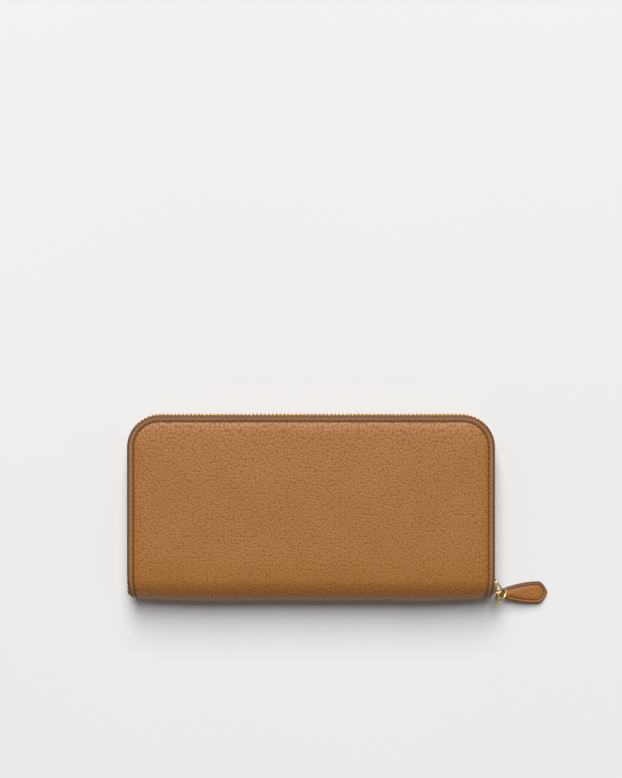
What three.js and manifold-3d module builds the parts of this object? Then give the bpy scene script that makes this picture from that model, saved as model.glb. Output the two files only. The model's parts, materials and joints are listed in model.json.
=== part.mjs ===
// A zip around wallet, closed and lying on its back cover. Millimetres, +Z up.
// X runs along the spine, +Y points from the spine to the long zipped edge, Z is the thickness.
// The origin is the middle of the back cover's flat outer face.
// Every piece of the back half is drawn once; the front half repeats it, mirrored in the middle plane.
import * as THREE from "three";
import { mergeVertices } from "three/addons/utils/BufferGeometryUtils.js";
import Module from "manifold-3d";

const wasm = await Module();
wasm.setup();

// ---- driving dimensions ----
const HALF_LENGTH = 98; // half the wallet's length along X
const ZIP_EDGE = 50; // Y of the covers' long zipped edge
const THICKNESS = 25;
const CORNER = 17; // radius of the covers' two zipped corners
const CURVE_STEPS = 7; // facets on a corner
const LEATHER = 1.2;

const MIDDLE = THICKNESS / 2;
const SPINE_RADIUS = THICKNESS / 2;
const SPINE_CENTRE = -ZIP_EDGE + SPINE_RADIUS; // Y of the spine's axis
const SPINE_HALF = 96.4; // half the length of the spine, a little shorter than the covers
const TAPER_START = -33; // Y where the covers begin to narrow towards the spine
const HINGE_ANGLE = Math.PI / 4; // the spine bends at 45 and 135 degrees round its arc
const HINGE_GAP = 0.035; // half the slit in the leather at a bend, in radians
const SPINE_STEPS = 6;

const PILLOW_INSET = 5; // how far in from the edge the padded face starts to fall
const PILLOW_DROP = 1.4;
const RIM_WIDTH = 1;
const PADDING = { inset: 8, low: 1.3, high: 1.9 };
const BOARD = { inset: 7.5, low: 2.0, high: 2.8, spineEdge: -34 };
const LINING = { inset: 1.3, spineInset: 2.3, low: 3.2, high: 3.6, arcOuter: 11.2, arcInner: 10.7 };
const CLEAR_RADIUS = 10.3; // inside this radius round the spine's axis nothing meets the lining

const CLEAR = 5; // how far cutting tools reach past the wallet

const TAPE = { flange: 6.3, wall: 0.7, low: 2.7, flangeHigh: 3.1, high: 9.95 };
const TEETH = {
  outer: -0.85, // how far out of the cover's edge the teeth stand, as a negative inset
  root: 0.1,
  inner: 1.45,
  low: 10.1,
  high: 11.9,
  pitch: 4.2,
  tip: 2.0,
  join: 0.02, // keeps two neighbouring corners of the outline apart
};
const CHAIN_END = -45.9; // Y of the last tooth at each end of the chain
const FIXED_END = -30.5; // below this Y both rows stay with the back cover
const FIXED_GAP = 0.5;
const TAPE_END = -46.8;
const STUB_TOP = 17.6; // the front tape's sewn-down end reaches this height

const SLOT = { half: 86, low: 3.7, step: 0.42, thick: 0.38, top: 30, drop: 13, bottom: -34, corner: 4 };
const SLOT_COUNT = 4;

// The coin pocket: half its length, half its thickness, its walls, and the seams at its ends and foot.
const LEAF = { half: 88, outer: 2.8, wall: 0.55, bottom: -46.6, top: 33, corner: 5 };
const SEAM = { gap: 0.1, side: 1.5, foot: 2 };
// The coin zip. Heights are measured from the pocket's upper edge, thicknesses from the middle plane.
const COIN = {
  row: 82, // half the length of the rows
  near: 0.3,
  far: 1.9,
  low: -0.4,
  root: 0.9,
  tip: 1.6,
  pitch: 4.2,
  tooth: 2.0,
  tape: { y: [0.2, 0.7], near: 2.0, far: 2.72, inset: 4 },
  stop: { x: [0.3, 1.1], y: [0.8, 1.7], half: 2 },
};
const COIN_SLIDER_X = 74;

// ---- colours ----
const TAN = 0xa26e3e;
const LINING_BROWN = 0x8a6039;
const TAPE_BROWN = 0x5b3d28;
const GOLD = 0xd9ae55;
const BOARD_GREY = 0x9a8f80;
const FOAM_WHITE = 0xd8d2c4;

const wallet = new THREE.Group();

function material(color, roughness, metalness = 0) {
  return new THREE.MeshStandardMaterial({ color, roughness, metalness });
}

function add(name, geometry, look) {
  const mesh = new THREE.Mesh(geometry, look());
  mesh.name = name;
  wallet.add(mesh);
}

const leather = () => material(TAN, 0.55);
const innerLeather = () => material(LINING_BROWN, 0.6);
const fabric = () => material(TAPE_BROWN, 0.9);
const goldMetal = () => material(GOLD, 0.3, 1);
const cardboard = () => material(BOARD_GREY, 0.95);
const foam = () => material(FOAM_WHITE, 1);

// ---- solids: joining and cutting ----
function solid(geometry) {
  const bare = geometry.clone();
  bare.deleteAttribute("normal");
  bare.deleteAttribute("uv");
  const merged = mergeVertices(bare, 1e-5);
  const vertProperties = new Float32Array(merged.attributes.position.array);
  const triVerts = new Uint32Array(merged.index.array);
  return new wasm.Manifold(new wasm.Mesh({ numProp: 3, vertProperties, triVerts }));
}

function geometryOf(body) {
  const mesh = body.getMesh();
  const geometry = new THREE.BufferGeometry();
  geometry.setAttribute("position", new THREE.BufferAttribute(new Float32Array(mesh.vertProperties), 3));
  geometry.setIndex(new THREE.BufferAttribute(new Uint32Array(mesh.triVerts), 1));
  return geometry;
}

function join(...geometries) {
  return geometryOf(geometries.map(solid).reduce((a, b) => a.add(b)));
}

function cut(geometry, ...tools) {
  return geometryOf(tools.map(solid).reduce((a, b) => a.subtract(b), solid(geometry)));
}

function common(a, b) {
  return geometryOf(solid(a).intersect(solid(b)));
}

// ---- solids: making ----
function block(x, y, z) {
  const box = new THREE.BoxGeometry(x[1] - x[0], y[1] - y[0], z[1] - z[0]);
  return box.translate((x[0] + x[1]) / 2, (y[0] + y[1]) / 2, (z[0] + z[1]) / 2);
}

function polygon(points) {
  return new THREE.Shape(points.map(([a, b]) => new THREE.Vector2(a, b)));
}

// A flat outline in X and Y, raised from z = low to z = high.
function raised(shape, low, high) {
  const options = { depth: high - low, bevelEnabled: false, curveSegments: CURVE_STEPS };
  return new THREE.ExtrudeGeometry(shape, options).translate(0, 0, low);
}

// A section drawn in Y and Z, carried along X from -half to +half, or between two given ends.
function alongX(shape, low, high) {
  const geometry = new THREE.ExtrudeGeometry(shape, {
    depth: high - low,
    bevelEnabled: false,
    curveSegments: SPINE_STEPS,
  });
  const turn = new THREE.Matrix4().makeBasis(
    new THREE.Vector3(0, 1, 0),
    new THREE.Vector3(0, 0, 1),
    new THREE.Vector3(1, 0, 0)
  );
  return geometry.applyMatrix4(turn).translate(low, 0, 0);
}

// Mirrors a closed mesh in the wallet's middle plane and turns its faces round again.
function mirrored(geometry) {
  const copy = geometry.index ? geometry.toNonIndexed() : geometry.clone();
  const place = copy.attributes.position;
  for (let i = 0; i < place.count; i += 3) {
    const corners = [0, 2, 1].map((n) => new THREE.Vector3().fromBufferAttribute(place, i + n));
    corners.forEach((p, n) => place.setXYZ(i + n, p.x, p.y, THICKNESS - p.z));
  }
  copy.deleteAttribute("normal");
  copy.deleteAttribute("uv");
  return mergeVertices(copy, 1e-5);
}

// ---- outlines ----
// The cover's outline, moved in by inset: round at the zipped corners, slightly narrower at the spine.
function coverOutline(inset, spineEdge) {
  const side = HALF_LENGTH - inset;
  const top = ZIP_EDGE - inset;
  const r = CORNER - inset;
  const narrow = SPINE_HALF - inset;
  const shape = new THREE.Shape();
  shape.moveTo(-narrow, spineEdge);
  shape.lineTo(narrow, spineEdge);
  shape.lineTo(narrow, -ZIP_EDGE);
  shape.quadraticCurveTo(side, SPINE_CENTRE, side, TAPER_START);
  shape.lineTo(side, top - r);
  shape.absarc(side - r, top - r, r, 0, Math.PI / 2, false);
  shape.lineTo(r - side, top);
  shape.absarc(r - side, top - r, r, Math.PI / 2, Math.PI, false);
  shape.lineTo(-side, TAPER_START);
  shape.quadraticCurveTo(-side, SPINE_CENTRE, -narrow, -ZIP_EDGE);
  return shape;
}

// Points of the line that the zip follows: up the right side, across the top and down the left side.
function zipLine(inset, spineEnd) {
  const side = HALF_LENGTH - inset;
  const top = ZIP_EDGE - inset;
  const r = CORNER - inset;
  const corner = (x, from) =>
    Array.from({ length: CURVE_STEPS + 1 }, (_, i) => {
      const a = from + (i / CURVE_STEPS) * (Math.PI / 2);
      return [x + r * Math.cos(a), top - r + r * Math.sin(a)];
    });
  return [[side, spineEnd], ...corner(side - r, 0), ...corner(r - side, Math.PI / 2), [-side, spineEnd]];
}

// A band of even width that follows the zip line, between two insets and two heights.
function zipBand(outerInset, innerInset, spineEnd, low, high) {
  const outline = [...zipLine(outerInset, spineEnd), ...zipLine(innerInset, spineEnd).reverse()];
  return raised(polygon(outline), low, high);
}

// The section of everything that lies inside the spine's lining: two flat faces and the round of the spine.
function insideSpine() {
  const shape = new THREE.Shape();
  shape.moveTo(ZIP_EDGE + CLEAR, MIDDLE - CLEAR_RADIUS);
  shape.lineTo(ZIP_EDGE + CLEAR, MIDDLE + CLEAR_RADIUS);
  shape.lineTo(SPINE_CENTRE, MIDDLE + CLEAR_RADIUS);
  shape.absarc(SPINE_CENTRE, MIDDLE, CLEAR_RADIUS, Math.PI / 2, (3 * Math.PI) / 2, false);
  return alongX(shape, -HALF_LENGTH - CLEAR, HALF_LENGTH + CLEAR);
}

// A stretch of the spine's arc, measured from the back cover round to the front cover.
function spineArc(outer, inner, from, to, half) {
  const shape = new THREE.Shape();
  const a = -Math.PI / 2 - from;
  const b = -Math.PI / 2 - to;
  shape.absarc(SPINE_CENTRE, MIDDLE, outer, a, b, true);
  shape.absarc(SPINE_CENTRE, MIDDLE, inner, b, a, false);
  return alongX(shape, -half, half);
}

// ---- the back half's layers ----
// A block with a bevelled face: the face of the cover with its edges drawn down by rise.
function pillow(inset, low, rise) {
  const pastSpine = -ZIP_EDGE - 4 * CLEAR;
  const geometry = new THREE.ExtrudeGeometry(coverOutline(inset + PILLOW_INSET, pastSpine), {
    depth: THICKNESS / 2,
    bevelEnabled: true,
    bevelThickness: rise,
    bevelSize: PILLOW_INSET,
    bevelSegments: 3,
    curveSegments: CURVE_STEPS,
  });
  return geometry.translate(0, 0, low + rise);
}

function coverLeather() {
  const rim = PILLOW_DROP + LEATHER;
  const lap = 1; // the flat shell and the spine's arc share this much before they are joined
  const keep = block([-HALF_LENGTH - 1, HALF_LENGTH + 1], [SPINE_CENTRE, ZIP_EDGE + 1], [-1, rim]);
  const shell = common(cut(pillow(0, 0, PILLOW_DROP), pillow(RIM_WIDTH, LEATHER, PILLOW_DROP)), keep);
  const arc = spineArc(SPINE_RADIUS, SPINE_RADIUS - LEATHER, 0, HINGE_ANGLE - HINGE_GAP, HALF_LENGTH);
  const overlap = [SPINE_CENTRE - 0.01, SPINE_CENTRE + lap];
  const strip = block([-HALF_LENGTH, HALF_LENGTH], overlap, [0, LEATHER]);
  const trim = raised(coverOutline(0, -ZIP_EDGE - 1), -1, THICKNESS);
  return common(join(shell, arc, strip), trim);
}

function liningSheet() {
  const arcMiddle = (LINING.arcOuter + LINING.arcInner) / 2;
  const meetAngle = Math.acos((MIDDLE - (LINING.low + LINING.high) / 2) / arcMiddle);
  const meetY = SPINE_CENTRE - arcMiddle * Math.sin(meetAngle);
  const flat = raised(coverOutline(LINING.inset, meetY), LINING.low, LINING.high);
  const limit = block([-HALF_LENGTH, HALF_LENGTH], [meetY, ZIP_EDGE], [0, THICKNESS]);
  const lap = 0.05; // radians that the bend shares with the flat sheet
  const bent = [meetAngle - lap, HINGE_ANGLE - HINGE_GAP];
  const bend = spineArc(LINING.arcOuter, LINING.arcInner, ...bent, SPINE_HALF - LINING.spineInset);
  return join(common(flat, limit), bend);
}

function zipTape(spineEnd) {
  const flange = zipBand(0, TAPE.flange, spineEnd, TAPE.low, TAPE.flangeHigh);
  const wall = zipBand(0, TAPE.wall, spineEnd, TAPE.low, TAPE.high);
  return common(join(flange, wall), insideSpine());
}

// A row of teeth: a smooth rail whose outer side is notched between the teeth.
function teethRow(spineEnd) {
  const side = HALF_LENGTH;
  const r = CORNER;
  const straight = ZIP_EDGE - r - spineEnd;
  const arc = (Math.PI / 2) * r;
  const across = 2 * (side - r);
  const length = 2 * straight + 2 * arc + across;
  const at = (s) => {
    if (s > length / 2) {
      const [x, y, nx, ny] = at(length - s);
      return [-x, y, -nx, ny];
    }
    if (s < straight) return [side, spineEnd + s, 1, 0];
    if (s < straight + arc) {
      const a = (s - straight) / r;
      return [side - r + r * Math.cos(a), ZIP_EDGE - r + r * Math.sin(a), Math.cos(a), Math.sin(a)];
    }
    return [side - r - (s - straight - arc), ZIP_EDGE, 0, 1];
  };
  const count = Math.floor(length / TEETH.pitch);
  const pitch = length / count;
  const outer = [];
  const lead = (pitch - TEETH.tip) / 2;
  for (let i = 0; i < count; i++) {
    for (const [s, inset] of [
      [i * pitch + TEETH.join, TEETH.root],
      [i * pitch + lead, TEETH.root],
      [i * pitch + lead, TEETH.outer],
      [i * pitch + lead + TEETH.tip, TEETH.outer],
      [i * pitch + lead + TEETH.tip, TEETH.root],
    ]) {
      const [x, y, nx, ny] = at(s);
      outer.push([x - nx * inset, y - ny * inset]);
    }
  }
  const inner = zipLine(TEETH.inner, spineEnd).reverse();
  return raised(polygon([...outer, ...inner]), TEETH.low, TEETH.high);
}

function roundedPlate(half, bottom, top, r) {
  const shape = new THREE.Shape();
  shape.moveTo(-half, bottom);
  shape.lineTo(half, bottom);
  shape.lineTo(half, top - r);
  shape.quadraticCurveTo(half, top, half - r, top);
  shape.lineTo(r - half, top);
  shape.quadraticCurveTo(-half, top, -half, top - r);
  return shape;
}

function cardSlot(index) {
  const top = SLOT.top - SLOT.drop * index;
  const low = SLOT.low + SLOT.step * index;
  return raised(roundedPlate(SLOT.half, SLOT.bottom, top, SLOT.corner), low, low + SLOT.thick);
}

const sides = [
  ["back", (geometry) => geometry],
  ["front", mirrored],
];

for (const [side, placed] of sides) {
  const tapeEnd = side === "back" ? TAPE_END : FIXED_END + FIXED_GAP;
  const rowEnd = side === "back" ? CHAIN_END : FIXED_END + FIXED_GAP;
  const boardShape = coverOutline(BOARD.inset, BOARD.spineEdge);
  const boardLimit = block([-HALF_LENGTH, HALF_LENGTH], [BOARD.spineEdge, ZIP_EDGE], [0, THICKNESS]);
  const paddingShape = coverOutline(PADDING.inset, BOARD.spineEdge);
  add(`${side}_cover_leather`, placed(coverLeather()), leather);
  const padding = common(raised(paddingShape, PADDING.low, PADDING.high), boardLimit);
  const board = common(raised(boardShape, BOARD.low, BOARD.high), boardLimit);
  add(`${side}_padding`, placed(padding), foam);
  add(`${side}_board`, placed(board), cardboard);
  add(`${side}_lining`, placed(liningSheet()), innerLeather);
  add(`${side}_zip_tape`, placed(zipTape(tapeEnd)), fabric);
  add(`${side}_zip_teeth`, placed(teethRow(rowEnd)), goldMetal);
  for (let i = 0; i < SLOT_COUNT; i++) {
    add(`${side}_card_slot_${i + 1}`, placed(cardSlot(i)), innerLeather);
  }
}

// ---- the chain's ends beside the spine, which stay with the back cover ----
const ends = [
  ["left", -1],
  ["right", 1],
];

// A block beside the zip line on one side of the wallet, given by its insets.
function sideBlock(sign, outerInset, innerInset, y, z) {
  const x = [HALF_LENGTH - innerInset, HALF_LENGTH - outerInset].map((v) => v * sign);
  return block(x.sort((a, b) => a - b), y, z);
}

const frontRow = [THICKNESS - TEETH.high, THICKNESS - TEETH.low];
for (const [name, sign] of ends) {
  const row = sideBlock(sign, TEETH.outer, TEETH.inner, [CHAIN_END, FIXED_END], frontRow);
  const stubHeights = [THICKNESS - TAPE.high, STUB_TOP];
  const stub = sideBlock(sign, 0, TAPE.wall, [TAPE_END, FIXED_END - FIXED_GAP], stubHeights);
  add(`${name}_front_teeth_end`, row, goldMetal);
  add(`${name}_front_tape_end`, common(stub, insideSpine()), fabric);
}

const STOP = { gap: 0.35, thick: 0.6, outer: -0.7, inner: -0.1 };
const stopY = [CHAIN_END - STOP.gap - STOP.thick, CHAIN_END - STOP.gap];
add("top_stop_back", sideBlock(1, STOP.outer, STOP.inner, stopY, [TEETH.low, TEETH.high]), goldMetal);
add("top_stop_front", sideBlock(1, STOP.outer, STOP.inner, stopY, frontRow), goldMetal);
add("bottom_stop", sideBlock(-1, STOP.outer, STOP.inner, stopY, [TEETH.low, frontRow[1]]), goldMetal);

// ---- the spine ----
const bent = [HINGE_ANGLE + HINGE_GAP, Math.PI - HINGE_ANGLE - HINGE_GAP];
const spineLining = spineArc(LINING.arcOuter, LINING.arcInner, ...bent, SPINE_HALF - LINING.spineInset);
add("spine_leather", spineArc(SPINE_RADIUS, SPINE_RADIUS - LEATHER, ...bent, SPINE_HALF), leather);
add("spine_lining", spineLining, innerLeather);

// ---- the coin pocket on the spine ----
const pocketOutline = roundedPlate(LEAF.half, LEAF.bottom, LEAF.top, LEAF.corner);
const FRONT_WALL = [MIDDLE + LEAF.outer - LEAF.wall, MIDDLE + LEAF.outer];

// The back wall with the seams that join it to the front wall at both ends and along the foot.
function pocketTray() {
  const whole = raised(pocketOutline, MIDDLE - LEAF.outer, FRONT_WALL[0] - SEAM.gap);
  const side = LEAF.half - SEAM.side;
  const hollow = block(
    [-side, side],
    [LEAF.bottom + SEAM.foot, LEAF.top + CLEAR],
    [MIDDLE - LEAF.outer + LEAF.wall, THICKNESS]
  );
  return cut(whole, hollow);
}
add("coin_pocket_back_wall", pocketTray(), innerLeather);
add("coin_pocket_front_wall", raised(pocketOutline, ...FRONT_WALL), innerLeather);

function coinTeeth() {
  const points = [];
  const count = Math.floor((2 * COIN.row) / COIN.pitch);
  const root = LEAF.top + COIN.root;
  const tip = LEAF.top + COIN.tip;
  for (let i = 0; i < count; i++) {
    const start = -COIN.row + i * COIN.pitch;
    const end = start + COIN.pitch;
    points.push([start, root], [end - COIN.tooth, root], [end - COIN.tooth, tip], [end, tip]);
  }
  const last = -COIN.row + count * COIN.pitch;
  const foot = LEAF.top + COIN.low;
  const outline = polygon([...points, [last, foot], [-COIN.row, foot]]);
  return raised(outline, MIDDLE - COIN.far, MIDDLE - COIN.near);
}

const coinTape = block(
  [COIN.tape.inset - LEAF.half, LEAF.half - COIN.tape.inset],
  COIN.tape.y.map((v) => LEAF.top + v),
  [MIDDLE - COIN.tape.far, MIDDLE - COIN.tape.near]
);
const coinRowGeometry = coinTeeth();
for (const [side, placed] of sides) {
  add(`coin_zip_tape_${side}`, placed(coinTape), fabric);
  add(`coin_zip_teeth_${side}`, placed(coinRowGeometry), goldMetal);
}
for (const [name, sign] of ends) {
  const x = COIN.stop.x.map((v) => (COIN.row + v) * sign).sort((a, b) => a - b);
  const y = COIN.stop.y.map((v) => LEAF.top + v);
  add(`coin_zip_stop_${name}`, block(x, y, [MIDDLE - COIN.stop.half, MIDDLE + COIN.stop.half]), goldMetal);
}

// ---- the coin zip's slider and puller ----
// Y is measured from the pocket's upper edge, X from the slider's middle, half is half the thickness in Z.
const COIN_SLIDER = {
  upper: { x: [-4, 4], y: [1.9, 2.6], half: 2.6 },
  lower: { x: [-4, 4], y: [-1.4, -0.7], half: 1.9 },
  post: { x: [1.5, 3.5], y: [-1, 2], half: 0.15 },
  arch: { x: [-2.5, 2.5], y: [2.5, 5.2], half: 0.7 },
  window: { x: [-1.7, 1.7], y: [2.6, 4.5], half: 1 },
};
const COIN_PULL = {
  plate: { x: [-9.5, 0.45], y: [3.35, 4.15], half: 2 },
  eye: { x: [-4.6, -0.45], y: [2.35, 5.15], half: 1.1 },
};

function coinBlock({ x, y, half }) {
  return block(
    x.map((v) => COIN_SLIDER_X + v),
    y.map((v) => LEAF.top + v),
    [MIDDLE - half, MIDDLE + half]
  );
}

function coinSlider() {
  const { upper, lower, post, arch, window } = COIN_SLIDER;
  const bridge = cut(coinBlock(arch), coinBlock(window));
  return join(coinBlock(upper), coinBlock(lower), coinBlock(post), bridge);
}
add("coin_slider_body", coinSlider(), goldMetal);
add("coin_puller", cut(coinBlock(COIN_PULL.plate), coinBlock(COIN_PULL.eye)), goldMetal);

// ---- the folded side gussets, between each cover and the coin pocket ----
const GUSSET = { edge: 85, foot: 83, deep: 70, bottom: -36, top: 16, thick: 0.7 };
for (const [name, sign] of ends) {
  const points = [
    [GUSSET.edge * sign, GUSSET.bottom],
    [GUSSET.edge * sign, GUSSET.top],
    [GUSSET.deep * sign, GUSSET.top],
    [GUSSET.foot * sign, GUSSET.bottom],
  ];
  const level = (SLOT.low + SLOT.step * SLOT_COUNT + MIDDLE - LEAF.outer) / 2;
  const sheet = raised(polygon(points), level - GUSSET.thick / 2, level + GUSSET.thick / 2);
  for (const [side, placed] of sides) {
    add(`${name}_gusset_${side}`, placed(sheet), innerLeather);
  }
}

// ---- the slider on the right-hand chain ----
const SLIDER = {
  y: [-46.1, -38.4],
  outer: [99.15, 99.95],
  inner: [95.3, 96.2],
  half: 3.55, // half its width across the chain
  channel: 2.75, // half the width of the channel for the teeth
  slot: [96.95, 98.35], // the tapes pass between these
  nose: 1.5, // half the width of the narrow end
  taper: 2.1, // length of the narrowing end
  chamfer: 0.8,
  post: { y: [-45.4, -42.9], half: 0.3 },
  lap: 0.05, // joined pieces share this much
};

// Corner points of the bridge and of its window, as [X, Y].
const BRIDGE = [
  [99.85, -38.9],
  [99.85, -46.08],
  [101.9, -46.0],
  [103.0, -45.2],
  [103.3, -43.8],
  [102.9, -42.6],
];
const BRIDGE_WINDOW = [
  [99.95, -40.9],
  [99.95, -45.4],
  [101.6, -45.4],
  [102.2, -44.9],
  [102.5, -43.8],
  [102.1, -42.8],
];
const BRIDGE_HALF = 1;

function sliderPlate() {
  const [low, high] = SLIDER.y;
  const { half, nose, taper, chamfer } = SLIDER;
  const side = [
    [high, half - chamfer],
    [high - chamfer, half],
    [low + taper, half],
    [low, nose],
  ];
  const other = side.map(([y, z]) => [y, -z]).reverse();
  return polygon([...side, ...other].map(([y, z]) => [y, MIDDLE + z]));
}

function sliderFlange(x, side) {
  const z = [SLIDER.channel, SLIDER.half].map((v) => MIDDLE + side * v).sort((a, b) => a - b);
  return block(x, [SLIDER.y[0] + SLIDER.taper, SLIDER.y[1] - SLIDER.chamfer], z);
}

// The bridge is an arch from one end of the outer plate to the other, with a window that holds the link.
function sliderBridge() {
  const arch = raised(polygon(BRIDGE), MIDDLE - BRIDGE_HALF, MIDDLE + BRIDGE_HALF);
  return cut(arch, raised(polygon(BRIDGE_WINDOW), MIDDLE - 2 * BRIDGE_HALF, MIDDLE + 2 * BRIDGE_HALF));
}

function sliderBody() {
  const between = [SLIDER.inner[1] - SLIDER.lap, SLIDER.outer[0] + SLIDER.lap];
  const { y, half } = SLIDER.post;
  const flanges = [-1, 1].flatMap((side) => [
    sliderFlange([SLIDER.slot[1], between[1]], side),
    sliderFlange([between[0], SLIDER.slot[0]], side),
  ]);
  return join(
    alongX(sliderPlate(), ...SLIDER.outer),
    alongX(sliderPlate(), ...SLIDER.inner),
    ...flanges,
    block(between, y, [MIDDLE - half, MIDDLE + half]),
    sliderBridge()
  );
}
add("slider_body", sliderBody(), goldMetal);

// ---- the puller link, an oval ring through the bridge ----
const LINK = { wire: 0.42, halfWidth: 2.05, length: 8.3, facets: 22, wireFacets: 8 };
const linkBar = new THREE.Vector3(101.15, -44.45, MIDDLE); // where the link hangs on the bridge
const linkLong = new THREE.Vector3(-0.08, -0.99, -0.1).normalize();
const linkAcross = new THREE.Vector3(-0.225, 0, 0.974);
linkAcross.addScaledVector(linkLong, -linkAcross.dot(linkLong)).normalize();
const linkNormal = new THREE.Vector3().crossVectors(linkLong, linkAcross);

function ovalLink() {
  const geometry = new THREE.TorusGeometry(LINK.halfWidth, LINK.wire, LINK.wireFacets, LINK.facets);
  geometry.rotateZ(Math.PI / LINK.facets);
  const place = geometry.attributes.position;
  const stretch = LINK.length - 2 * LINK.halfWidth;
  for (let i = 0; i < place.count; i++) {
    const x = place.getX(i);
    place.setX(i, x + LINK.halfWidth + (x > 0 ? stretch : 0));
  }
  geometry.applyMatrix4(new THREE.Matrix4().makeBasis(linkLong, linkAcross, linkNormal));
  return geometry.translate(linkBar.x, linkBar.y, linkBar.z);
}
add("puller_link", ovalLink(), goldMetal);

// ---- the split ring round the link's lower wire ----
const RING = { wire: 0.45, radius: 3.9, along: 5.1, inside: 2.35, facets: 28, wireFacets: 8 };
const ringAcross = new THREE.Vector3(0.6, 0.8, 0);
const ringDown = new THREE.Vector3(-0.26, 0.195, -0.9455).normalize();
const ringCentre = linkBar
  .clone()
  .addScaledVector(linkLong, RING.along)
  .addScaledVector(linkAcross, -LINK.halfWidth)
  .addScaledVector(ringAcross, RING.inside);

function splitRing() {
  const geometry = new THREE.TorusGeometry(RING.radius, RING.wire, RING.wireFacets, RING.facets);
  const axis = new THREE.Vector3().crossVectors(ringAcross, ringDown);
  geometry.applyMatrix4(new THREE.Matrix4().makeBasis(ringAcross, ringDown, axis));
  return geometry.translate(ringCentre.x, ringCentre.y, ringCentre.z);
}
add("split_ring", splitRing(), goldMetal);

// ---- the leather pull tab, folded round the bottom of the ring and resting on its tip ----
const TAB = {
  thick: 2,
  slope: 0.188, // the tab falls from the ring to the tip by this angle
  end: 0.8,
  shoulder: 3.2,
  widest: 22.4,
  tip: 28,
  halfEnd: 1.5,
  halfShoulder: 2.75,
  halfWide: 5.95,
  loopOuter: 2,
  loopBore: 1.2,
  loopHalf: 1.6,
  swell: 13, // where the sides bend outwards
  tipBend: 2.6, // how far before the tip the end is rounded
  sag: 0.1, // the loop's middle lies this far inside the ring's wire
};
const loopCentre = ringCentre.clone().addScaledVector(ringDown, RING.radius - TAB.sag);

function pullTab() {
  const shape = new THREE.Shape();
  shape.moveTo(TAB.end, -TAB.halfEnd);
  shape.lineTo(TAB.shoulder, -TAB.halfShoulder);
  shape.quadraticCurveTo(TAB.swell, -TAB.halfWide, TAB.widest, -TAB.halfWide);
  shape.quadraticCurveTo(TAB.tip - TAB.tipBend, -TAB.halfWide, TAB.tip, 0);
  shape.quadraticCurveTo(TAB.tip - TAB.tipBend, TAB.halfWide, TAB.widest, TAB.halfWide);
  shape.quadraticCurveTo(TAB.swell, TAB.halfWide, TAB.shoulder, TAB.halfShoulder);
  shape.lineTo(TAB.end, TAB.halfEnd);
  const plate = raised(shape, -TAB.thick / 2, TAB.thick / 2).rotateY(TAB.slope);
  const round = (radius, half) => {
    const rod = new THREE.CylinderGeometry(radius, radius, 2 * half, 16);
    return rod.rotateZ(Math.atan2(ringAcross.y, ringAcross.x) - Math.PI / 2);
  };
  const bore = round(TAB.loopBore, 2 * TAB.loopHalf);
  const tab = cut(join(plate, round(TAB.loopOuter, TAB.loopHalf)), bore);
  return tab.translate(loopCentre.x, loopCentre.y, loopCentre.z);
}
add("pull_tab_leather", pullTab(), leather);

export default wallet;
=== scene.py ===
"""A tan zip around wallet, closed, lying on its back cover on a pale studio floor.

Shapes are worked out in millimetres with numpy and written in metres. Places come from the frame.
X runs along the spine, +Y from the spine to the long zipped edge, Z through the thickness.
"""

import json
import math

import bpy
import numpy as np
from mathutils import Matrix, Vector


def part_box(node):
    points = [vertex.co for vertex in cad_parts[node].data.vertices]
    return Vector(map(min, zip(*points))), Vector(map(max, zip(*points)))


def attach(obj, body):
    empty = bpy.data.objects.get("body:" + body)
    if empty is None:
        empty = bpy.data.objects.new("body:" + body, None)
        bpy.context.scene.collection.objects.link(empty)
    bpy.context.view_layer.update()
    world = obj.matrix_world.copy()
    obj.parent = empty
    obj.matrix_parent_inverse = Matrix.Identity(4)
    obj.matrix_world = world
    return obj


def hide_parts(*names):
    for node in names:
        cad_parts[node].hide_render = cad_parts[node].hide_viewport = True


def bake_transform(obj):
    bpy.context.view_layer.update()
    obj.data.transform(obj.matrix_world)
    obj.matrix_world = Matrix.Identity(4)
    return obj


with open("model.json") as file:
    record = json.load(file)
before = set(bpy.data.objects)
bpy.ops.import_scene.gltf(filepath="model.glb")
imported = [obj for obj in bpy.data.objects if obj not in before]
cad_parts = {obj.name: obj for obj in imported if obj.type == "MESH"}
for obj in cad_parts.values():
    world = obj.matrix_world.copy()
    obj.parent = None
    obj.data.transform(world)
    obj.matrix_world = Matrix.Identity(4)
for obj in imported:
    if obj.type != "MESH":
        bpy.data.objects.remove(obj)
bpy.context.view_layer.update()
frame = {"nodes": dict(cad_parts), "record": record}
MM = 0.001


# ---------------------------------------------------------------- sizes, in millimetres
def node_box(name):
    """The lowest and highest corners of a CAD node, in millimetres."""
    low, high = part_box(name)
    return np.array(low) / MM, np.array(high) / MM


COVER_LOW, COVER_HIGH = node_box("front_cover_leather")
SPINE_LOW, SPINE_HIGH = node_box("spine_leather")
TEETH_LOW, TEETH_HIGH = node_box("back_zip_teeth")
LEAF_LOW, LEAF_HIGH = node_box("coin_pocket_back_wall")
JOINTS = {j["name"]: j for j in frame["record"]["behaviour"]["joints"]}


def joint_place(name):
    """Where a joint turns, in millimetres."""
    return np.array(JOINTS[name]["pos_m"]) / MM


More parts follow.
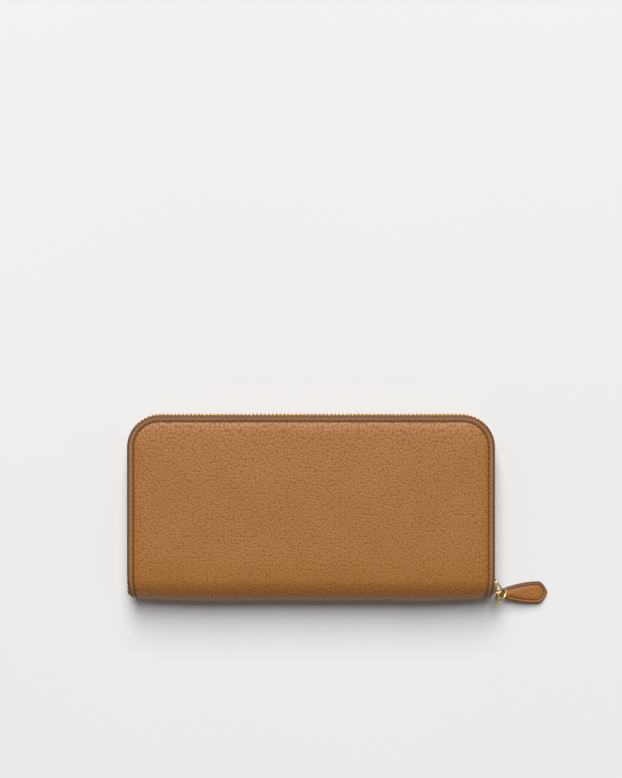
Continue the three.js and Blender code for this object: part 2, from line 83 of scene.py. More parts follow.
HALF = COVER_HIGH[0]
ZIP_EDGE = COVER_HIGH[1]
THICK = COVER_HIGH[2]
MIDDLE = THICK / 2
ROUND = THICK / 2  # radius of the spine
SPINE_Y = SPINE_LOW[1] + ROUND  # Y of the spine's axis
NARROWING = HALF - SPINE_HIGH[0]  # how much shorter the spine is than the covers, at each end
CORNER = 17.0
FLAT = ZIP_EDGE - SPINE_Y  # how far a cover reaches past the spine's axis
SPINE_MID = -ROUND * math.pi / 2  # the spine's middle line, on the flattened cover
TAPER_START = 4.5  # where the cover starts to draw in, just above the spine's round
SHOULDER = (-6.0, 9.5, 0.9)  # where the cover starts to roll over, how softly and how far
PILLOW_DROP = 0.75  # how steeply and how far in the stuffed face rises out of the groove
PILLOW_RUN = 8.0
CROWN_DROP = 0.95  # the rest of the fall from the middle of the face to its rim, spread over a long run
CROWN_RUN = 40.0
GROOVE = 3.3  # inset of the stitched groove
STITCH = 3.1  # from one needle hole to the next
TOOTH_PITCH = 2.1
SETTLED = 0.1  # how much the stuffing has gone down
TUCK_SHADE = 0.75  # how dark the painted shade in the tuck beside the thread is
ROLL_SHADE = 0.3  # how much painted shade darkens the hide where it rolls round the spine


# ---------------------------------------------------------------- mesh making
SHARP = 38  # degrees between faces from which an edge is drawn sharp


def grid_faces(rows, cols, close_rows=False, close_cols=False, start=0):
    """Quads between neighbours of a rows x cols grid of points, numbered row by row from start."""
    i = np.arange(rows if close_rows else rows - 1)
    j = np.arange(cols if close_cols else cols - 1)
    i, j = (a.ravel() for a in np.meshgrid(i, j, indexing="ij"))
    i2, j2 = (i + 1) % rows, (j + 1) % cols
    return start + np.stack([i * cols + j, i2 * cols + j, i2 * cols + j2, i * cols + j2], axis=1)


def ring_cap(ring, centre):
    """Triangles that close a ring of points to its centre point."""
    return np.stack([ring, np.roll(ring, -1), np.full(len(ring), centre)], axis=1)


def volume(points, faces):
    """Six times the volume inside closed faces: the sum of the triple products of their triangles."""
    total = 0.0
    for group in faces:
        for k in range(1, group.shape[1] - 1):
            a, b, c = (points[group[:, n]] for n in (0, k, k + 1))
            total += np.einsum("ij,ij->", a, np.cross(b, c))
    return total


def piece(name, shape, material, body, stands_for=(), attributes=None):
    """A finished mesh object made of shape (points, faces), turned outwards; it rides on its body when body
    is a name and stays where it is drawn otherwise.
    """
    points, faces = shape
    if volume(points, faces) < 0:
        faces = [f[:, ::-1] for f in faces]
    mesh = bpy.data.meshes.new(name)
    mesh.from_pydata((points * MM).tolist(), [], [f for group in faces for f in group.tolist()])
    mesh.polygons.foreach_set("use_smooth", np.ones(len(mesh.polygons), bool))
    mesh.set_sharp_from_angle(angle=math.radians(SHARP))
    for key, values in (attributes or {}).items():
        values = np.asarray(values, np.float32)
        kind = "FLOAT_VECTOR" if values.ndim == 2 else "FLOAT"
        made = mesh.attributes.new(key, kind, "POINT")
        made.data.foreach_set("vector" if values.ndim == 2 else "value", values.ravel())
    mesh.materials.append(material)
    obj = bpy.data.objects.new(name, mesh)
    bpy.context.scene.collection.objects.link(obj)
    if isinstance(body, str):
        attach(obj, body)
    else:
        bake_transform(obj)
    if stands_for:
        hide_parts(*stands_for)
    return obj


def with_ends(values):
    """Values at the rings of a swept skin, in one run, with zeros for the middles of its two ends."""
    values = values.reshape(-1, 3) if values.ndim == 3 else values.ravel()
    return np.concatenate([values, np.zeros((2, *values.shape[1:]))])


def slab(top, bottom):
    """A closed sheet with thickness: two grids of points of one shape, joined along their four edges."""
    rows, cols = top.shape[:2]
    count = rows * cols
    points = np.concatenate([top.reshape(-1, 3), bottom.reshape(-1, 3)])
    upper = grid_faces(rows, cols)
    lower = grid_faces(rows, cols, start=count)[:, ::-1]
    index = np.arange(count).reshape(rows, cols)
    border = np.concatenate([index[:-1, 0], index[-1, :-1], index[:0:-1, -1], index[0, :0:-1]])
    after = np.roll(border, -1)
    walls = np.stack([after, border, border + count, after + count], axis=1)
    return points, [np.concatenate([upper, lower, walls])]


def swept(rings, closed=False):
    """A closed skin through rings of points, shape (rings, points, 3); open ends get a fan of triangles."""
    count, around = rings.shape[:2]
    points = rings.reshape(-1, 3)
    faces = grid_faces(count, around, close_rows=closed, close_cols=True)
    if closed:
        return points, [faces]
    ends = np.stack([rings[0].mean(axis=0), rings[-1].mean(axis=0)])
    first = ring_cap(np.arange(around), len(points))
    last = ring_cap(np.arange(around) + (count - 1) * around, len(points) + 1)[:, ::-1]
    return np.concatenate([points, ends]), [faces, np.concatenate([first, last])]


def unit(vectors):
    """Vectors drawn to length 1."""
    vectors = np.asarray(vectors, float)
    return vectors / np.maximum(np.linalg.norm(vectors, axis=-1, keepdims=True), 1e-12)


def tube(path, radius, closed=False, around=12, flat=1.0, up=(0, 0, 1)):
    """A wire along path: at each point a ring of the given radius, squashed by flat along its second axis."""
    path = np.asarray(path, float)
    ahead = np.roll(path, -1, axis=0) - np.roll(path, 1, axis=0)
    if not closed:
        ahead[0], ahead[-1] = path[1] - path[0], path[-1] - path[-2]
    ahead = unit(ahead)
    side = unit(np.cross(ahead, np.broadcast_to(np.asarray(up, float), path.shape)))
    over = np.cross(side, ahead)
    turn = np.linspace(0, 2 * np.pi, around, endpoint=False)
    radius = np.broadcast_to(radius, len(path))[:, None, None]
    ring = np.cos(turn)[None, :, None] * side[:, None] + flat * np.sin(turn)[None, :, None] * over[:, None]
    return swept(path[:, None] + radius * ring, closed)


def length_along(path):
    """How far each point of a path is from its start."""
    return np.concatenate([[0], np.cumsum(np.linalg.norm(np.diff(path, axis=0), axis=1))])


def copies(shape, origins, along, out):
    """shape (points, faces) repeated: its x goes along, its y goes out, its z is their cross product."""
    points, faces = shape
    along, out = (np.broadcast_to(np.asarray(v, float), origins.shape) for v in (along, out))
    along, out = unit(along), unit(out)
    third = np.cross(along, out)
    axes = np.stack([along, out, third], axis=1)
    placed = np.einsum("pk,nkd->npd", points, axes) + origins[:, None]
    step = (np.arange(len(origins)) * len(points))[:, None, None]
    return placed.reshape(-1, 3), [(f[None] + step).reshape(-1, f.shape[1]) for f in faces]


def together(*shapes):
    """Several (points, faces) as one."""
    points, faces, start = [], [], 0
    for p, groups in shapes:
        points.append(p)
        faces += [f + start for f in groups]
        start += len(p)
    return np.concatenate(points), faces


def plate(outline, low, high, bevel, steps=3):
    """A plate with rounded rims: a counterclockwise outline, drawn in by a quarter circle at both faces."""
    ahead = np.roll(outline, -1, axis=0) - np.roll(outline, 1, axis=0)
    normal = unit(np.stack([ahead[:, 1], -ahead[:, 0]], axis=1))
    turn = np.linspace(0, np.pi / 2, steps + 1)
    inset = bevel * (1 - np.sin(turn))
    rise = bevel * (1 - np.cos(turn))
    inset = np.concatenate([inset, inset[::-1]])
    level = np.concatenate([low + rise, high - rise[::-1]])
    rings = [np.column_stack([outline - normal * i, np.full(len(outline), z)]) for i, z in zip(inset, level)]
    return swept(np.stack(rings))


def smooth(value):
    """The S curve 3v^2 - 2v^3 of a value held between 0 and 1."""
    value = np.clip(value, 0, 1)
    return value * value * (3 - 2 * value)


# ---------------------------------------------------------------- the cover, flattened and folded
# A point of a cover is (x, q, h): q is measured from the line where the cover meets the spine's round,
# up the cover when positive and round the spine when negative; h is the height over the outer face.
def half_width(q):
    """Half the cover's length at q: straight sides that draw in a little round the spine."""
    part = np.clip((TAPER_START - q) / (TAPER_START - SPINE_MID), 0, 1)
    return HALF - NARROWING * part**2


def shoulder(q):
    """How far the cover rolls over early at q: a bell curve, deepest where the spine's round begins."""
    centre, spread, depth = SHOULDER
    return depth * np.exp(-(((q - centre) / spread) ** 2))


def underside(q, inset):
    """Height of the stuffed cover's underside: deep under the seam, shallower inside it and at the spine."""
    return -2.55 + (0.57 + 0.78 * smooth(-q / 5)) * smooth((inset - GROOVE - 2) / 2)


def folded(x, q, h, side):
    """(x, q, h) to the closed wallet: flat above q = 0, round the spine below it; side -1 is the back."""
    x, q, h = np.broadcast_arrays(x, q, h)
    h = h - shoulder(q)
    angle = np.clip(-q / ROUND, 0, np.pi / 2)
    y = SPINE_Y + np.maximum(q, 0) - (ROUND + h) * np.sin(angle)
    z = MIDDLE + (ROUND + h) * np.cos(angle)
    return np.stack([x, y, z if side > 0 else THICK - z], axis=-1)


SIDE_RUN = FLAT - CORNER - SPINE_MID
ARC_RUN = CORNER * math.pi / 2
TOP_RUN = 2 * (HALF - CORNER)
EDGE_RUN = 2 * (SIDE_RUN + ARC_RUN) + TOP_RUN


def cover_edge(s):
    """The cover's edge at s millimetres from the spine's middle: place (x, q) and outward normal.

    Up the right side, a quarter circle, across the top, a quarter circle, down the left side."""
    s = np.asarray(s, float)
    left = s > EDGE_RUN / 2
    s = np.where(left, EDGE_RUN - s, s)
    q = SPINE_MID + np.minimum(s, SIDE_RUN)
    angle = np.clip((s - SIDE_RUN) / CORNER, 0, np.pi / 2)
    across = np.maximum(s - SIDE_RUN - ARC_RUN, 0)
    x = np.where(s < SIDE_RUN, half_width(q), HALF - CORNER + CORNER * np.cos(angle) - across)
    q = np.where(s < SIDE_RUN, q, FLAT - CORNER + CORNER * np.sin(angle))
    nx, nq = np.cos(angle), np.sin(angle)
    sign = np.where(left, -1.0, 1.0)
    return np.stack([x * sign, q], -1), np.stack([nx * sign, nq], -1)


def edge_distance(x, q):
    """How far (x, q) lies in from the cover's edge."""
    x = np.abs(x)
    square = np.minimum(half_width(q) - x, FLAT - q)
    corner = CORNER - np.hypot(np.maximum(x - HALF + CORNER, 0), np.maximum(q - FLAT + CORNER, 0))
    in_corner = (x > HALF - CORNER) & (q > FLAT - CORNER)
    return np.where(in_corner, corner, square)


def pillow_height(inset):
    """The padded face: a steep rise out of the groove that levels out, with a tight tuck at the thread."""
    t = np.clip((inset - GROOVE) / PILLOW_RUN, 0, 1)
    return -PILLOW_DROP * (1 - t) ** 2.4 - 0.5 * np.exp(-np.maximum(inset - GROOVE, 0) / 0.4)


def crown_height(inset):
    """The whole face bulges: a square law from the rim to CROWN_RUN."""
    return -CROWN_DROP * (1 - np.clip((inset - GROOVE) / CROWN_RUN, 0, 1)) ** 2


def softness(x, q):
    """Gentle unevenness of stuffed leather: three long waves, a few hundredths of a millimetre to a tenth."""
    return (
        0.07 * np.sin(x / 17.0 + 1.3) * np.sin(q / 13.0 + 0.4)
        + 0.05 * np.sin(x / 9.0 - q / 14.0)
        + 0.04 * np.sin(x / 31.0 + q / 7.5 + 2.0)
    )


def grain_place(x, q):
    """Where the grain is read: the pattern is stretched across the edges, where the hide is pulled over."""
    top = FLAT - 26.0
    up = q - 0.011 * np.maximum(q - top, 0) ** 2 - 0.22 * np.minimum(q + 2, 0)
    side = HALF - 13.0
    across = x - 0.28 * np.maximum(x - side, 0) - 0.2 * np.minimum(x + side, 0)
    return np.stack([across, up, np.zeros_like(up)], -1)


def needle_pits(s):
    """1 at each needle hole along the groove, falling to 0 between them."""
    phase = (s / STITCH) % 1.0
    near = np.minimum(phase, 1 - phase) * STITCH
    return np.exp(-((near / 0.42) ** 2))


# ---------------------------------------------------------------- materials
def group(name, inputs, outputs):
    """A node group with named sockets, given as (name, kind)."""
    tree = bpy.data.node_groups.new(name, "ShaderNodeTree")
    for label, kind in inputs:
        tree.interface.new_socket(label, in_out="INPUT", socket_type=kind)
    for label, kind in outputs:
        tree.interface.new_socket(label, in_out="OUTPUT", socket_type=kind)
    return tree, tree.nodes.new("NodeGroupInput"), tree.nodes.new("NodeGroupOutput")


FLOAT, COLOR, VECTOR = "NodeSocketFloat", "NodeSocketColor", "NodeSocketVector"


def node(tree, kind, links=(), **values):
    """A node with its settings or input values, and links given as (input, output socket)."""
    made = tree.nodes.new(kind)
    for key, value in values.items():
        name = key.replace("_", " ")
        if hasattr(made, key) and key not in ("location",):
            setattr(made, key, value)
        elif name in made.inputs:
            made.inputs[name].default_value = value
        else:
            raise KeyError(f"{kind} has no {key}")
    for target, source in links:
        tree.links.new(source, made.inputs[target])
    return made


def maths(tree, operation, a, b=None):
    """One Math node; a and b are sockets or numbers."""
    made = tree.nodes.new("ShaderNodeMath")
    made.operation = operation
    for index, value in enumerate((a, b)):
        if isinstance(value, bpy.types.NodeSocket):
            tree.links.new(value, made.inputs[index])
        elif value is not None:
            made.inputs[index].default_value = value
    return made.outputs[0]


def ramp(tree, source, low, high, start=0.0, end=1.0):
    """source carried from the stretch low..high to start..end, held at both ends."""
    made = tree.nodes.new("ShaderNodeMapRange")
    tree.links.new(source, made.inputs["Value"])
    for key, value in zip(("From Min", "From Max", "To Min", "To Max"), (low, high, start, end)):
        made.inputs[key].default_value = value
    return made.outputs["Result"]


def mixed(tree, factor, a, b, blend="MIX"):
    """Colours a and b mixed; each of the three is a socket or a value."""
    made = tree.nodes.new("ShaderNodeMix")
    made.data_type = "RGBA"
    made.blend_type = blend
    for socket, value in ((made.inputs[0], factor), (made.inputs[6], a), (made.inputs[7], b)):
        if isinstance(value, bpy.types.NodeSocket):
            tree.links.new(value, socket)
        elif isinstance(value, tuple):
            socket.default_value = (*value, 1.0)
        else:
            socket.default_value = value
    return made.outputs[2]


def noise(tree, place, scale, detail):
    """The grey value of a noise."""
    made = node(tree, "ShaderNodeTexNoise", [("Vector", place)], Scale=scale, Detail=detail)
    return made.outputs["Fac"]


def weighed(tree, *parts):
    """The sum of several values, each given as (value, share)."""
    total = None
    for value, share in parts:
        part = value if share == 1 else maths(tree, "MULTIPLY", value, share)
        total = part if total is None else maths(tree, "ADD", total, part)
    return total


def grain_group(name, dimensions):
    """Pebbled hide: rounded cells with creases between them, bent by a slower noise, over fine pores."""
    tree, given, out = group(
        name,
        [("Place", VECTOR), ("Cells", FLOAT), ("Warp", FLOAT)],
        [("Height", FLOAT), ("Crease", FLOAT)],
    )
    place = given.outputs["Place"]
    bend = node(tree, "ShaderNodeTexNoise", [("Vector", place)], Scale=0.35, Detail=2.0)
    centred = node(tree, "ShaderNodeVectorMath", [(0, bend.outputs["Color"])], operation="SUBTRACT")
    centred.inputs[1].default_value = (0.5, 0.5, 0.5)
    scaled = node(tree, "ShaderNodeVectorMath", [(0, centred.outputs[0])], operation="SCALE")
    tree.links.new(given.outputs["Warp"], scaled.inputs["Scale"])
    moved = node(tree, "ShaderNodeVectorMath", [(0, place), (1, scaled.outputs[0])], operation="ADD")
    links = [("Vector", moved.outputs[0]), ("Scale", given.outputs["Cells"])]
    shared = {"voronoi_dimensions": dimensions, "Randomness": 0.9}
    cells = node(tree, "ShaderNodeTexVoronoi", links, feature="SMOOTH_F1", Smoothness=0.35, **shared)
    edges = node(tree, "ShaderNodeTexVoronoi", links, feature="DISTANCE_TO_EDGE", **shared)
    walls = ramp(tree, edges.outputs["Distance"], 0.0, 0.14, 0.5, 0.0)
    corners = ramp(tree, cells.outputs["Distance"], 0.42, 0.72, 0.0, 0.6)
    crease = maths(tree, "ADD", walls, corners)
    dome = ramp(tree, cells.outputs["Distance"], 0.1, 0.75, 1.0, 0.0)
    pores = noise(tree, place, 3.2, 3.0)
    tree.links.new(weighed(tree, (dome, 0.8), (pores, 0.35), (crease, -0.25)), out.inputs["Height"])
    tree.links.new(crease, out.inputs["Crease"])
    return tree


def mottle_group():
    """Uneven dye: a slow and a middling noise, as one value from 0 to 1."""
    tree, given, out = group("uneven dye", [("Place", VECTOR)], [("Tone", FLOAT)])
    place = given.outputs["Place"]
    both = weighed(tree, (noise(tree, place, 0.045, 3.0), 0.6), (noise(tree, place, 0.42, 4.0), 0.4))
    tree.links.new(ramp(tree, both, 0.34, 0.66), out.inputs["Tone"])
    return tree


def weave_group():
    """Twill of threads: two sine waves across each other, with fuzz."""
    tree, given, out = group("tape weave", [("Place", VECTOR), ("Threads", FLOAT)], [("Height", FLOAT)])
    scaled = node(tree, "ShaderNodeVectorMath", [(0, given.outputs["Place"])], operation="SCALE")
    tree.links.new(given.outputs["Threads"], scaled.inputs["Scale"])
    split = node(tree, "ShaderNodeSeparateXYZ", [(0, scaled.outputs[0])])
    sums = (maths(tree, way, split.outputs[0], split.outputs[1]) for way in ("ADD", "SUBTRACT"))
    one, two = (maths(tree, "SINE", value) for value in sums)
    fuzz = noise(tree, given.outputs["Place"], 6.0, 2.0)
    tree.links.new(weighed(tree, (one, 0.3), (two, 0.3), (fuzz, 1)), out.inputs["Height"])
    return tree


def wear_group():
    """Fine handling marks on metal: a stretched noise for scratches and a cloudy one for smears."""
    tree, given, out = group("handling marks", [("Place", VECTOR)], [("Marks", FLOAT)])
    place = given.outputs["Place"]
    stretched = node(tree, "ShaderNodeVectorMath", [(0, place)], operation="MULTIPLY")
    stretched.inputs[1].default_value = (1.0, 9.0, 4.0)
    scratches = noise(tree, stretched.outputs[0], 1.4, 5.0)
    both = weighed(tree, (scratches, 0.5), (noise(tree, place, 0.5, 2.0), 0.5))
    tree.links.new(ramp(tree, both, 0.35, 0.65), out.inputs["Marks"])
    return tree


GRAIN = grain_group("hide grain on a flat hide", "2D")
ROUND_GRAIN = grain_group("hide grain all round", "3D")
MOTTLE, WEAVE, MARKS = mottle_group(), weave_group(), wear_group()
PAINTED_SHADE_DARK = (0.035, 0.014, 0.006)  # the colour of painted shade deep in a needle hole or a groove


def material(name, roughness=0.5, metallic=0.0, specular=0.5, sheen=0.0):
    """A material with its shader's fixed values set on the shader itself."""
    made = bpy.data.materials.new(name)
    made.use_nodes = True
    shader = made.node_tree.nodes["Principled BSDF"]
    shader.inputs["Roughness"].default_value = roughness
    shader.inputs["Metallic"].default_value = metallic
    shader.inputs["Specular IOR Level"].default_value = specular
    shader.inputs["Sheen Weight"].default_value = sheen
    return made, made.node_tree


def dress(made, colour, height, depth, roughness=None, strength=1.0):
    """Joins a colour, a roughness (given as for ramp) and a relief, depth millimetres deep, to the shader."""
    tree = made.node_tree
    shader = tree.nodes["Principled BSDF"]
    tree.links.new(colour, shader.inputs["Base Color"])
    if roughness:
        tree.links.new(ramp(tree, *roughness), shader.inputs["Roughness"])
    relief = node(tree, "ShaderNodeBump", [("Height", height)], Strength=strength, Distance=depth * MM)
    tree.links.new(relief.outputs["Normal"], shader.inputs["Normal"])
    return made


def millimetres(tree):
    """The piece's own coordinates in millimetres."""
    where = tree.nodes.new("ShaderNodeTexCoord")
    scaled = node(tree, "ShaderNodeVectorMath", [(0, where.outputs["Object"])], operation="SCALE")
    scaled.inputs["Scale"].default_value = 1 / MM
    return scaled.outputs[0]


def attribute(tree, name, vector=False):
    """A value or vector that the piece carries at its points."""
    made = tree.nodes.new("ShaderNodeAttribute")
    made.attribute_name = name
    return made.outputs["Vector" if vector else "Fac"]


def use(tree, made_group, place, **values):
    """A group placed in a material, reading place."""
    placed = tree.nodes.new("ShaderNodeGroup")
    placed.node_tree = made_group
    for key, value in values.items():
        placed.inputs[key].default_value = value
    tree.links.new(place, placed.inputs["Place"])
    return placed


def dyed(tree, place, light, dark):
    """Two tones of dye, mixed unevenly."""
    return mixed(tree, use(tree, MOTTLE, place).outputs["Tone"], dark, light)


def hide(name, light, dark, cells=0.78, depth=0.13, place="grain", roughness=(0.36, 0.58)):
    """Pebbled, dyed leather. light and dark are the dye's two tones; the creases between pebbles, and the
    grooves, needle holes and spine roll of the covers, are painted darker as shade.
    """
    made, tree = material(name)
    where = attribute(tree, place, vector=True) if place else millimetres(tree)
    grain = use(tree, GRAIN if place else ROUND_GRAIN, where, Cells=cells, Warp=1.6)
    # painted shade: the colour in the creases between the pebbles
    shade = (dark[0] * 0.62, dark[1] * 0.5, dark[2] * 0.25)
    crease_shade = maths(tree, "MULTIPLY", grain.outputs["Crease"], 0.85)
    colour = mixed(tree, crease_shade, dyed(tree, where, light, dark), shade)
    if place:
        # painted shade in the grooves, needle holes and spine roll
        colour = mixed(tree, maths(tree, "MULTIPLY", attribute(tree, "painted_shade"), 0.85), colour, PAINTED_SHADE_DARK)
    height = grain.outputs["Height"]
    return dress(made, colour, height, depth, (height, 0.2, 1.0, roughness[1], roughness[0]))


def border_hide(name, light, dark, paint):
    """The pressed border: smoother leather whose cut edge is painted and burnished dark."""
    made, tree = material(name, specular=0.25)
    where = attribute(tree, "grain", vector=True)
    grain = use(tree, GRAIN, where, Cells=1.1, Warp=0.8)
    ragged = noise(tree, where, 0.9, 3.0)
    reach = weighed(tree, (attribute(tree, "inset"), 1), (ragged, -0.35))
    painted = ramp(tree, reach, 0.95, 1.3, 1.0, 0.0)
    colour = mixed(tree, painted, dyed(tree, where, light, dark), paint)
    # painted shade in the groove and the needle holes
    colour = mixed(tree, maths(tree, "MULTIPLY", attribute(tree, "painted_shade"), 0.9), colour, PAINTED_SHADE_DARK)
    return dress(made, colour, grain.outputs["Height"], 0.06, (painted, 0.0, 1.0, 0.55, 0.5))


def thread_material(name, light, dark):
    """Waxed thread: two plies twisted round each other, seen as slanting bands."""
    made, tree = material(name, roughness=0.45, specular=0.4, sheen=0.15)
    where = millimetres(tree)
    plies = node(tree, "ShaderNodeTexWave", [("Vector", where)], Scale=0.9, Distortion=1.2, Detail=1.0)
    plies.bands_direction = "DIAGONAL"
    height = weighed(tree, (plies.outputs["Fac"], 1), (noise(tree, where, 4.0, 3.0), 0.5))
    return dress(made, mixed(tree, plies.outputs["Fac"], dark, light), height, 0.06)


def tape_material(name, light, dark):
    """Woven polyester zip tape."""
    made, tree = material(name, roughness=0.82, specular=0.25, sheen=0.3)
    weave = use(tree, WEAVE, attribute(tree, "cloth", vector=True), Threads=8.5).outputs["Height"]
    return dress(made, mixed(tree, ramp(tree, weave, 0.0, 1.2), dark, light), weave, 0.07)


def metal(name, light, dark, roughness):
    """Plated metal with handling marks that dull and darken it in places."""
    made, tree = material(name, metallic=1.0)
    marks = use(tree, MARKS, millimetres(tree)).outputs["Marks"]
    return dress(made, mixed(tree, marks, light, dark), marks, 0.01, (marks, 0, 1, *roughness), 0.5)


def plain_fibre(name, light, dark, scale):
    """Board or foam: fibrous noise in colour and relief."""
    made, tree = material(name, roughness=0.9, specular=0.2)
    fibres = noise(tree, millimetres(tree), scale, 6.0)
    return dress(made, mixed(tree, ramp(tree, fibres, 0.3, 0.7), dark, light), fibres, 0.1)


TAN_HIDE = hide("pebbled tan hide", (0.412, 0.166, 0.033), (0.378, 0.148, 0.027))
BORDER_HIDE = border_hide(
    "pressed tan border", (0.360, 0.170, 0.068), (0.300, 0.135, 0.050), (0.160, 0.060, 0.026)
)
INNER_HIDE = hide(
    "smooth inner leather", (0.330, 0.150, 0.058), (0.260, 0.112, 0.040), cells=1.6, depth=0.03, place="",
    roughness=(0.45, 0.6)
)
GUSSET_HIDE = hide(
    "soft gusset leather", (0.300, 0.135, 0.052), (0.235, 0.100, 0.036), cells=2.2, depth=0.02, place="",
    roughness=(0.5, 0.65)
)
THREAD = thread_material("waxed brown thread", (0.260, 0.112, 0.036), (0.120, 0.046, 0.014))
TAPE = tape_material("brown zip tape", (0.200, 0.088, 0.036), (0.110, 0.045, 0.018))
TEETH_GOLD = metal("brass teeth", (0.80, 0.53, 0.24), (0.58, 0.34, 0.13), (0.28, 0.45))
GOLD = metal("polished gold hardware", (1.0, 0.78, 0.38), (0.93, 0.66, 0.27), (0.24, 0.38))
FOAM = plain_fibre("foam padding", (0.72, 0.68, 0.60), (0.60, 0.55, 0.47), 2.5)
BOARD = plain_fibre("stiffening board", (0.36, 0.30, 0.23), (0.26, 0.21, 0.16), 1.5)


# ---------------------------------------------------------------- the covers
FOLLOW_START = math.radians(20)  # arc from a cover's flat to the spine point nearer the flat that bending returns
FOLLOW_END = math.radians(70)  # and to the one farther round


def arc_point(angle, side):
    """A point on the spine's outside, angle measured from one cover's flat; in metres."""
    y = SPINE_Y - ROUND * math.sin(angle)
    z = MIDDLE + side * ROUND * math.cos(angle)
    return (0.0, y * MM, z * MM)


def bending(side):
    near, far = arc_point(FOLLOW_START, side), arc_point(FOLLOW_END, side)
    if side < 0:
        return ("back_half", "spine", near, far)
    return ("spine", "front_half", far, near)


def inset_columns(width, fine, coarse, growth=1.28):
    """Distances from a rim to the middle, fine at the rim and growing to coarse, as fractions of width."""
    steps, step = [0.0], fine
    while steps[-1] + step < width:
        steps.append(steps[-1] + step)
        step = min(step * growth, coarse)
    return np.append(np.array(steps), width) / width


def panel_grid(rim, low_q, corner_steps, row_step, fine, coarse):
    """(x, q) grid over the cover inside inset rim: straight rows across, closer together at the corners."""
    radius = CORNER - rim
    centre_q = FLAT - CORNER
    straight = np.arange(low_q, centre_q, row_step)
    angle = np.linspace(0, np.pi / 2, corner_steps)
    q = np.concatenate([straight, centre_q + radius * np.sin(angle)])
    side = np.concatenate([half_width(straight) - rim, HALF - CORNER + radius * np.cos(angle)])
    half = 1 - inset_columns(HALF, fine, coarse)
    across = np.concatenate([-half, half[-2::-1]])
    return side[:, None] * across[None], np.broadcast_to(q[:, None], (len(q), len(across)))


def cover_panel(name, side, stands_for):
    """The stuffed leather face: a slab over (x, q) whose height rises from the groove by pillow_height."""
    x, q = panel_grid(GROOVE, SPINE_MID, 64, 1.0, 0.22, 1.15)
    inset = edge_distance(x, q)
    within = inset - GROOVE
    height = pillow_height(inset) + crown_height(inset) + (softness(x, q) - SETTLED) * smooth(within / 6)
    shape = slab(folded(x, q, height, side), folded(x, q, underside(q, inset), side))
    place = grain_place(x, q).reshape(-1, 3)
    # painted shade: darker where the cover rolls round the spine and in the tuck beside the thread
    roll_shade = ROLL_SHADE * smooth((-30 - q) / 9)
    painted_shade = (roll_shade + (TUCK_SHADE - roll_shade) * np.exp(-np.maximum(within, 0) / 0.32)).ravel()
    return piece(
        name, shape, TAN_HIDE, bending(side), stands_for,
        attributes={"grain": np.concatenate([place, place]), "painted_shade": np.concatenate([painted_shade, painted_shade])},
    )


# (inset, height): under the band, round the painted edge, over the band and down into the groove
BORDER_PROFILE = (
    (3.4, -2.60), (0.75, -2.60), (0.38, -2.56), (0.12, -2.42), (0.0, -2.20), (0.02, -2.0), (0.14, -1.83),
    (0.40, -1.68), (0.78, -1.58), (1.25, -1.52), (1.75, -1.50), (2.25, -1.55), (2.65, -1.67), (2.95, -1.86),
    (3.18, -2.06), (3.4, -2.18), (3.65, -2.28),
)


def cover_border(name, side):
    """The pressed border: BORDER_PROFILE carried along cover_edge from the spine's middle round to it again.

    Its five lowest profile points lie underneath and count as edge for the paint."""
    s = np.linspace(0, EDGE_RUN, 1130)
    place, normal = cover_edge(s)
    inset, height = np.array(BORDER_PROFILE).T
    dips = needle_pits(s)[:, None] * np.exp(-(((inset - GROOVE) / 0.5) ** 2))[None]
    wobble = 0.03 * np.sin(s / 5.3)[:, None] + 0.02 * np.sin(s / 1.9 + 1.0)[:, None]
    x = place[:, :1] - normal[:, :1] * inset[None]
    q = place[:, 1:] - normal[:, 1:] * inset[None]
    rings = folded(x, q, height[None] - 0.25 * dips + wobble * (height[None] > -2.2), side)
    grain = np.stack(np.broadcast_arrays(s[:, None], inset[None], 0.0), -1)
    # painted shade in the groove and the needle holes
    groove = 0.6 * np.exp(-(((inset - GROOVE - 0.1) / 0.42) ** 2))
    over = np.where(np.arange(len(inset)) < 5, 0.0, inset)
    return piece(
        name, swept(rings), BORDER_HIDE, bending(side),
        attributes={
            "grain": with_ends(grain),
            "painted_shade": with_ends(np.maximum(groove[None], dips)),
            "inset": with_ends(np.broadcast_to(over[None], x.shape)),
        },
    )


def stitch_shape(length, thick):
    """One stitch along x: a bead whose radius falls as the root of 1 - u^4 to its ends, which dive as u^3."""
    u = np.linspace(-1, 1, 7)[:, None]
    radius = thick * np.maximum(1 - np.abs(u) ** 4, 0.06) ** 0.5
    dive = -0.55 * thick * np.abs(u) ** 3
    turn = np.linspace(0, 2 * np.pi, 6, endpoint=False)[None]
    rings = np.broadcast_arrays(u * length / 2, dive + radius * np.cos(turn), radius * np.sin(turn))
    return swept(np.stack(rings, axis=-1))


def cover_stitches(name, side):
    """Stitches along cover_edge, one every STITCH, each laid from needle hole to needle hole."""
    inset, height = GROOVE - 0.05, -1.7
    s = np.arange(STITCH / 2, EDGE_RUN - STITCH / 3, STITCH)

    def at(where, h):
        place, normal = cover_edge(where)
        return folded(place[:, 0] - normal[:, 0] * inset, place[:, 1] - normal[:, 1] * inset, h, side)

    along = at(s + 0.4, height) - at(s - 0.4, height)
    out = at(s, height + 0.5) - at(s, height - 0.5)
    shape = copies(stitch_shape(2.55, 0.27), at(s, height), along, out)
    piece(name, shape, THREAD, bending(side))


SIDES = (("back", -1, "back_half"), ("front", 1, "front_half"))
for label, side, body in SIDES:
    covers = [f"{label}_cover_leather", f"{label}_padding"] + (["spine_leather"] if side > 0 else [])
    cover_panel(f"{label}_panel", side, covers)
    cover_border(f"{label}_border", side)
    cover_stitches(f"{label}_cover_stitching", side)


# ---------------------------------------------------------------- the zip
def zip_line(y_end, step):
    """Places s along the cover's edge from Y = y_end on the right round to the same Y on the left."""
    start = y_end - SPINE_Y - SPINE_MID
    return np.linspace(start, EDGE_RUN - start, int((EDGE_RUN - 2 * start) / step))


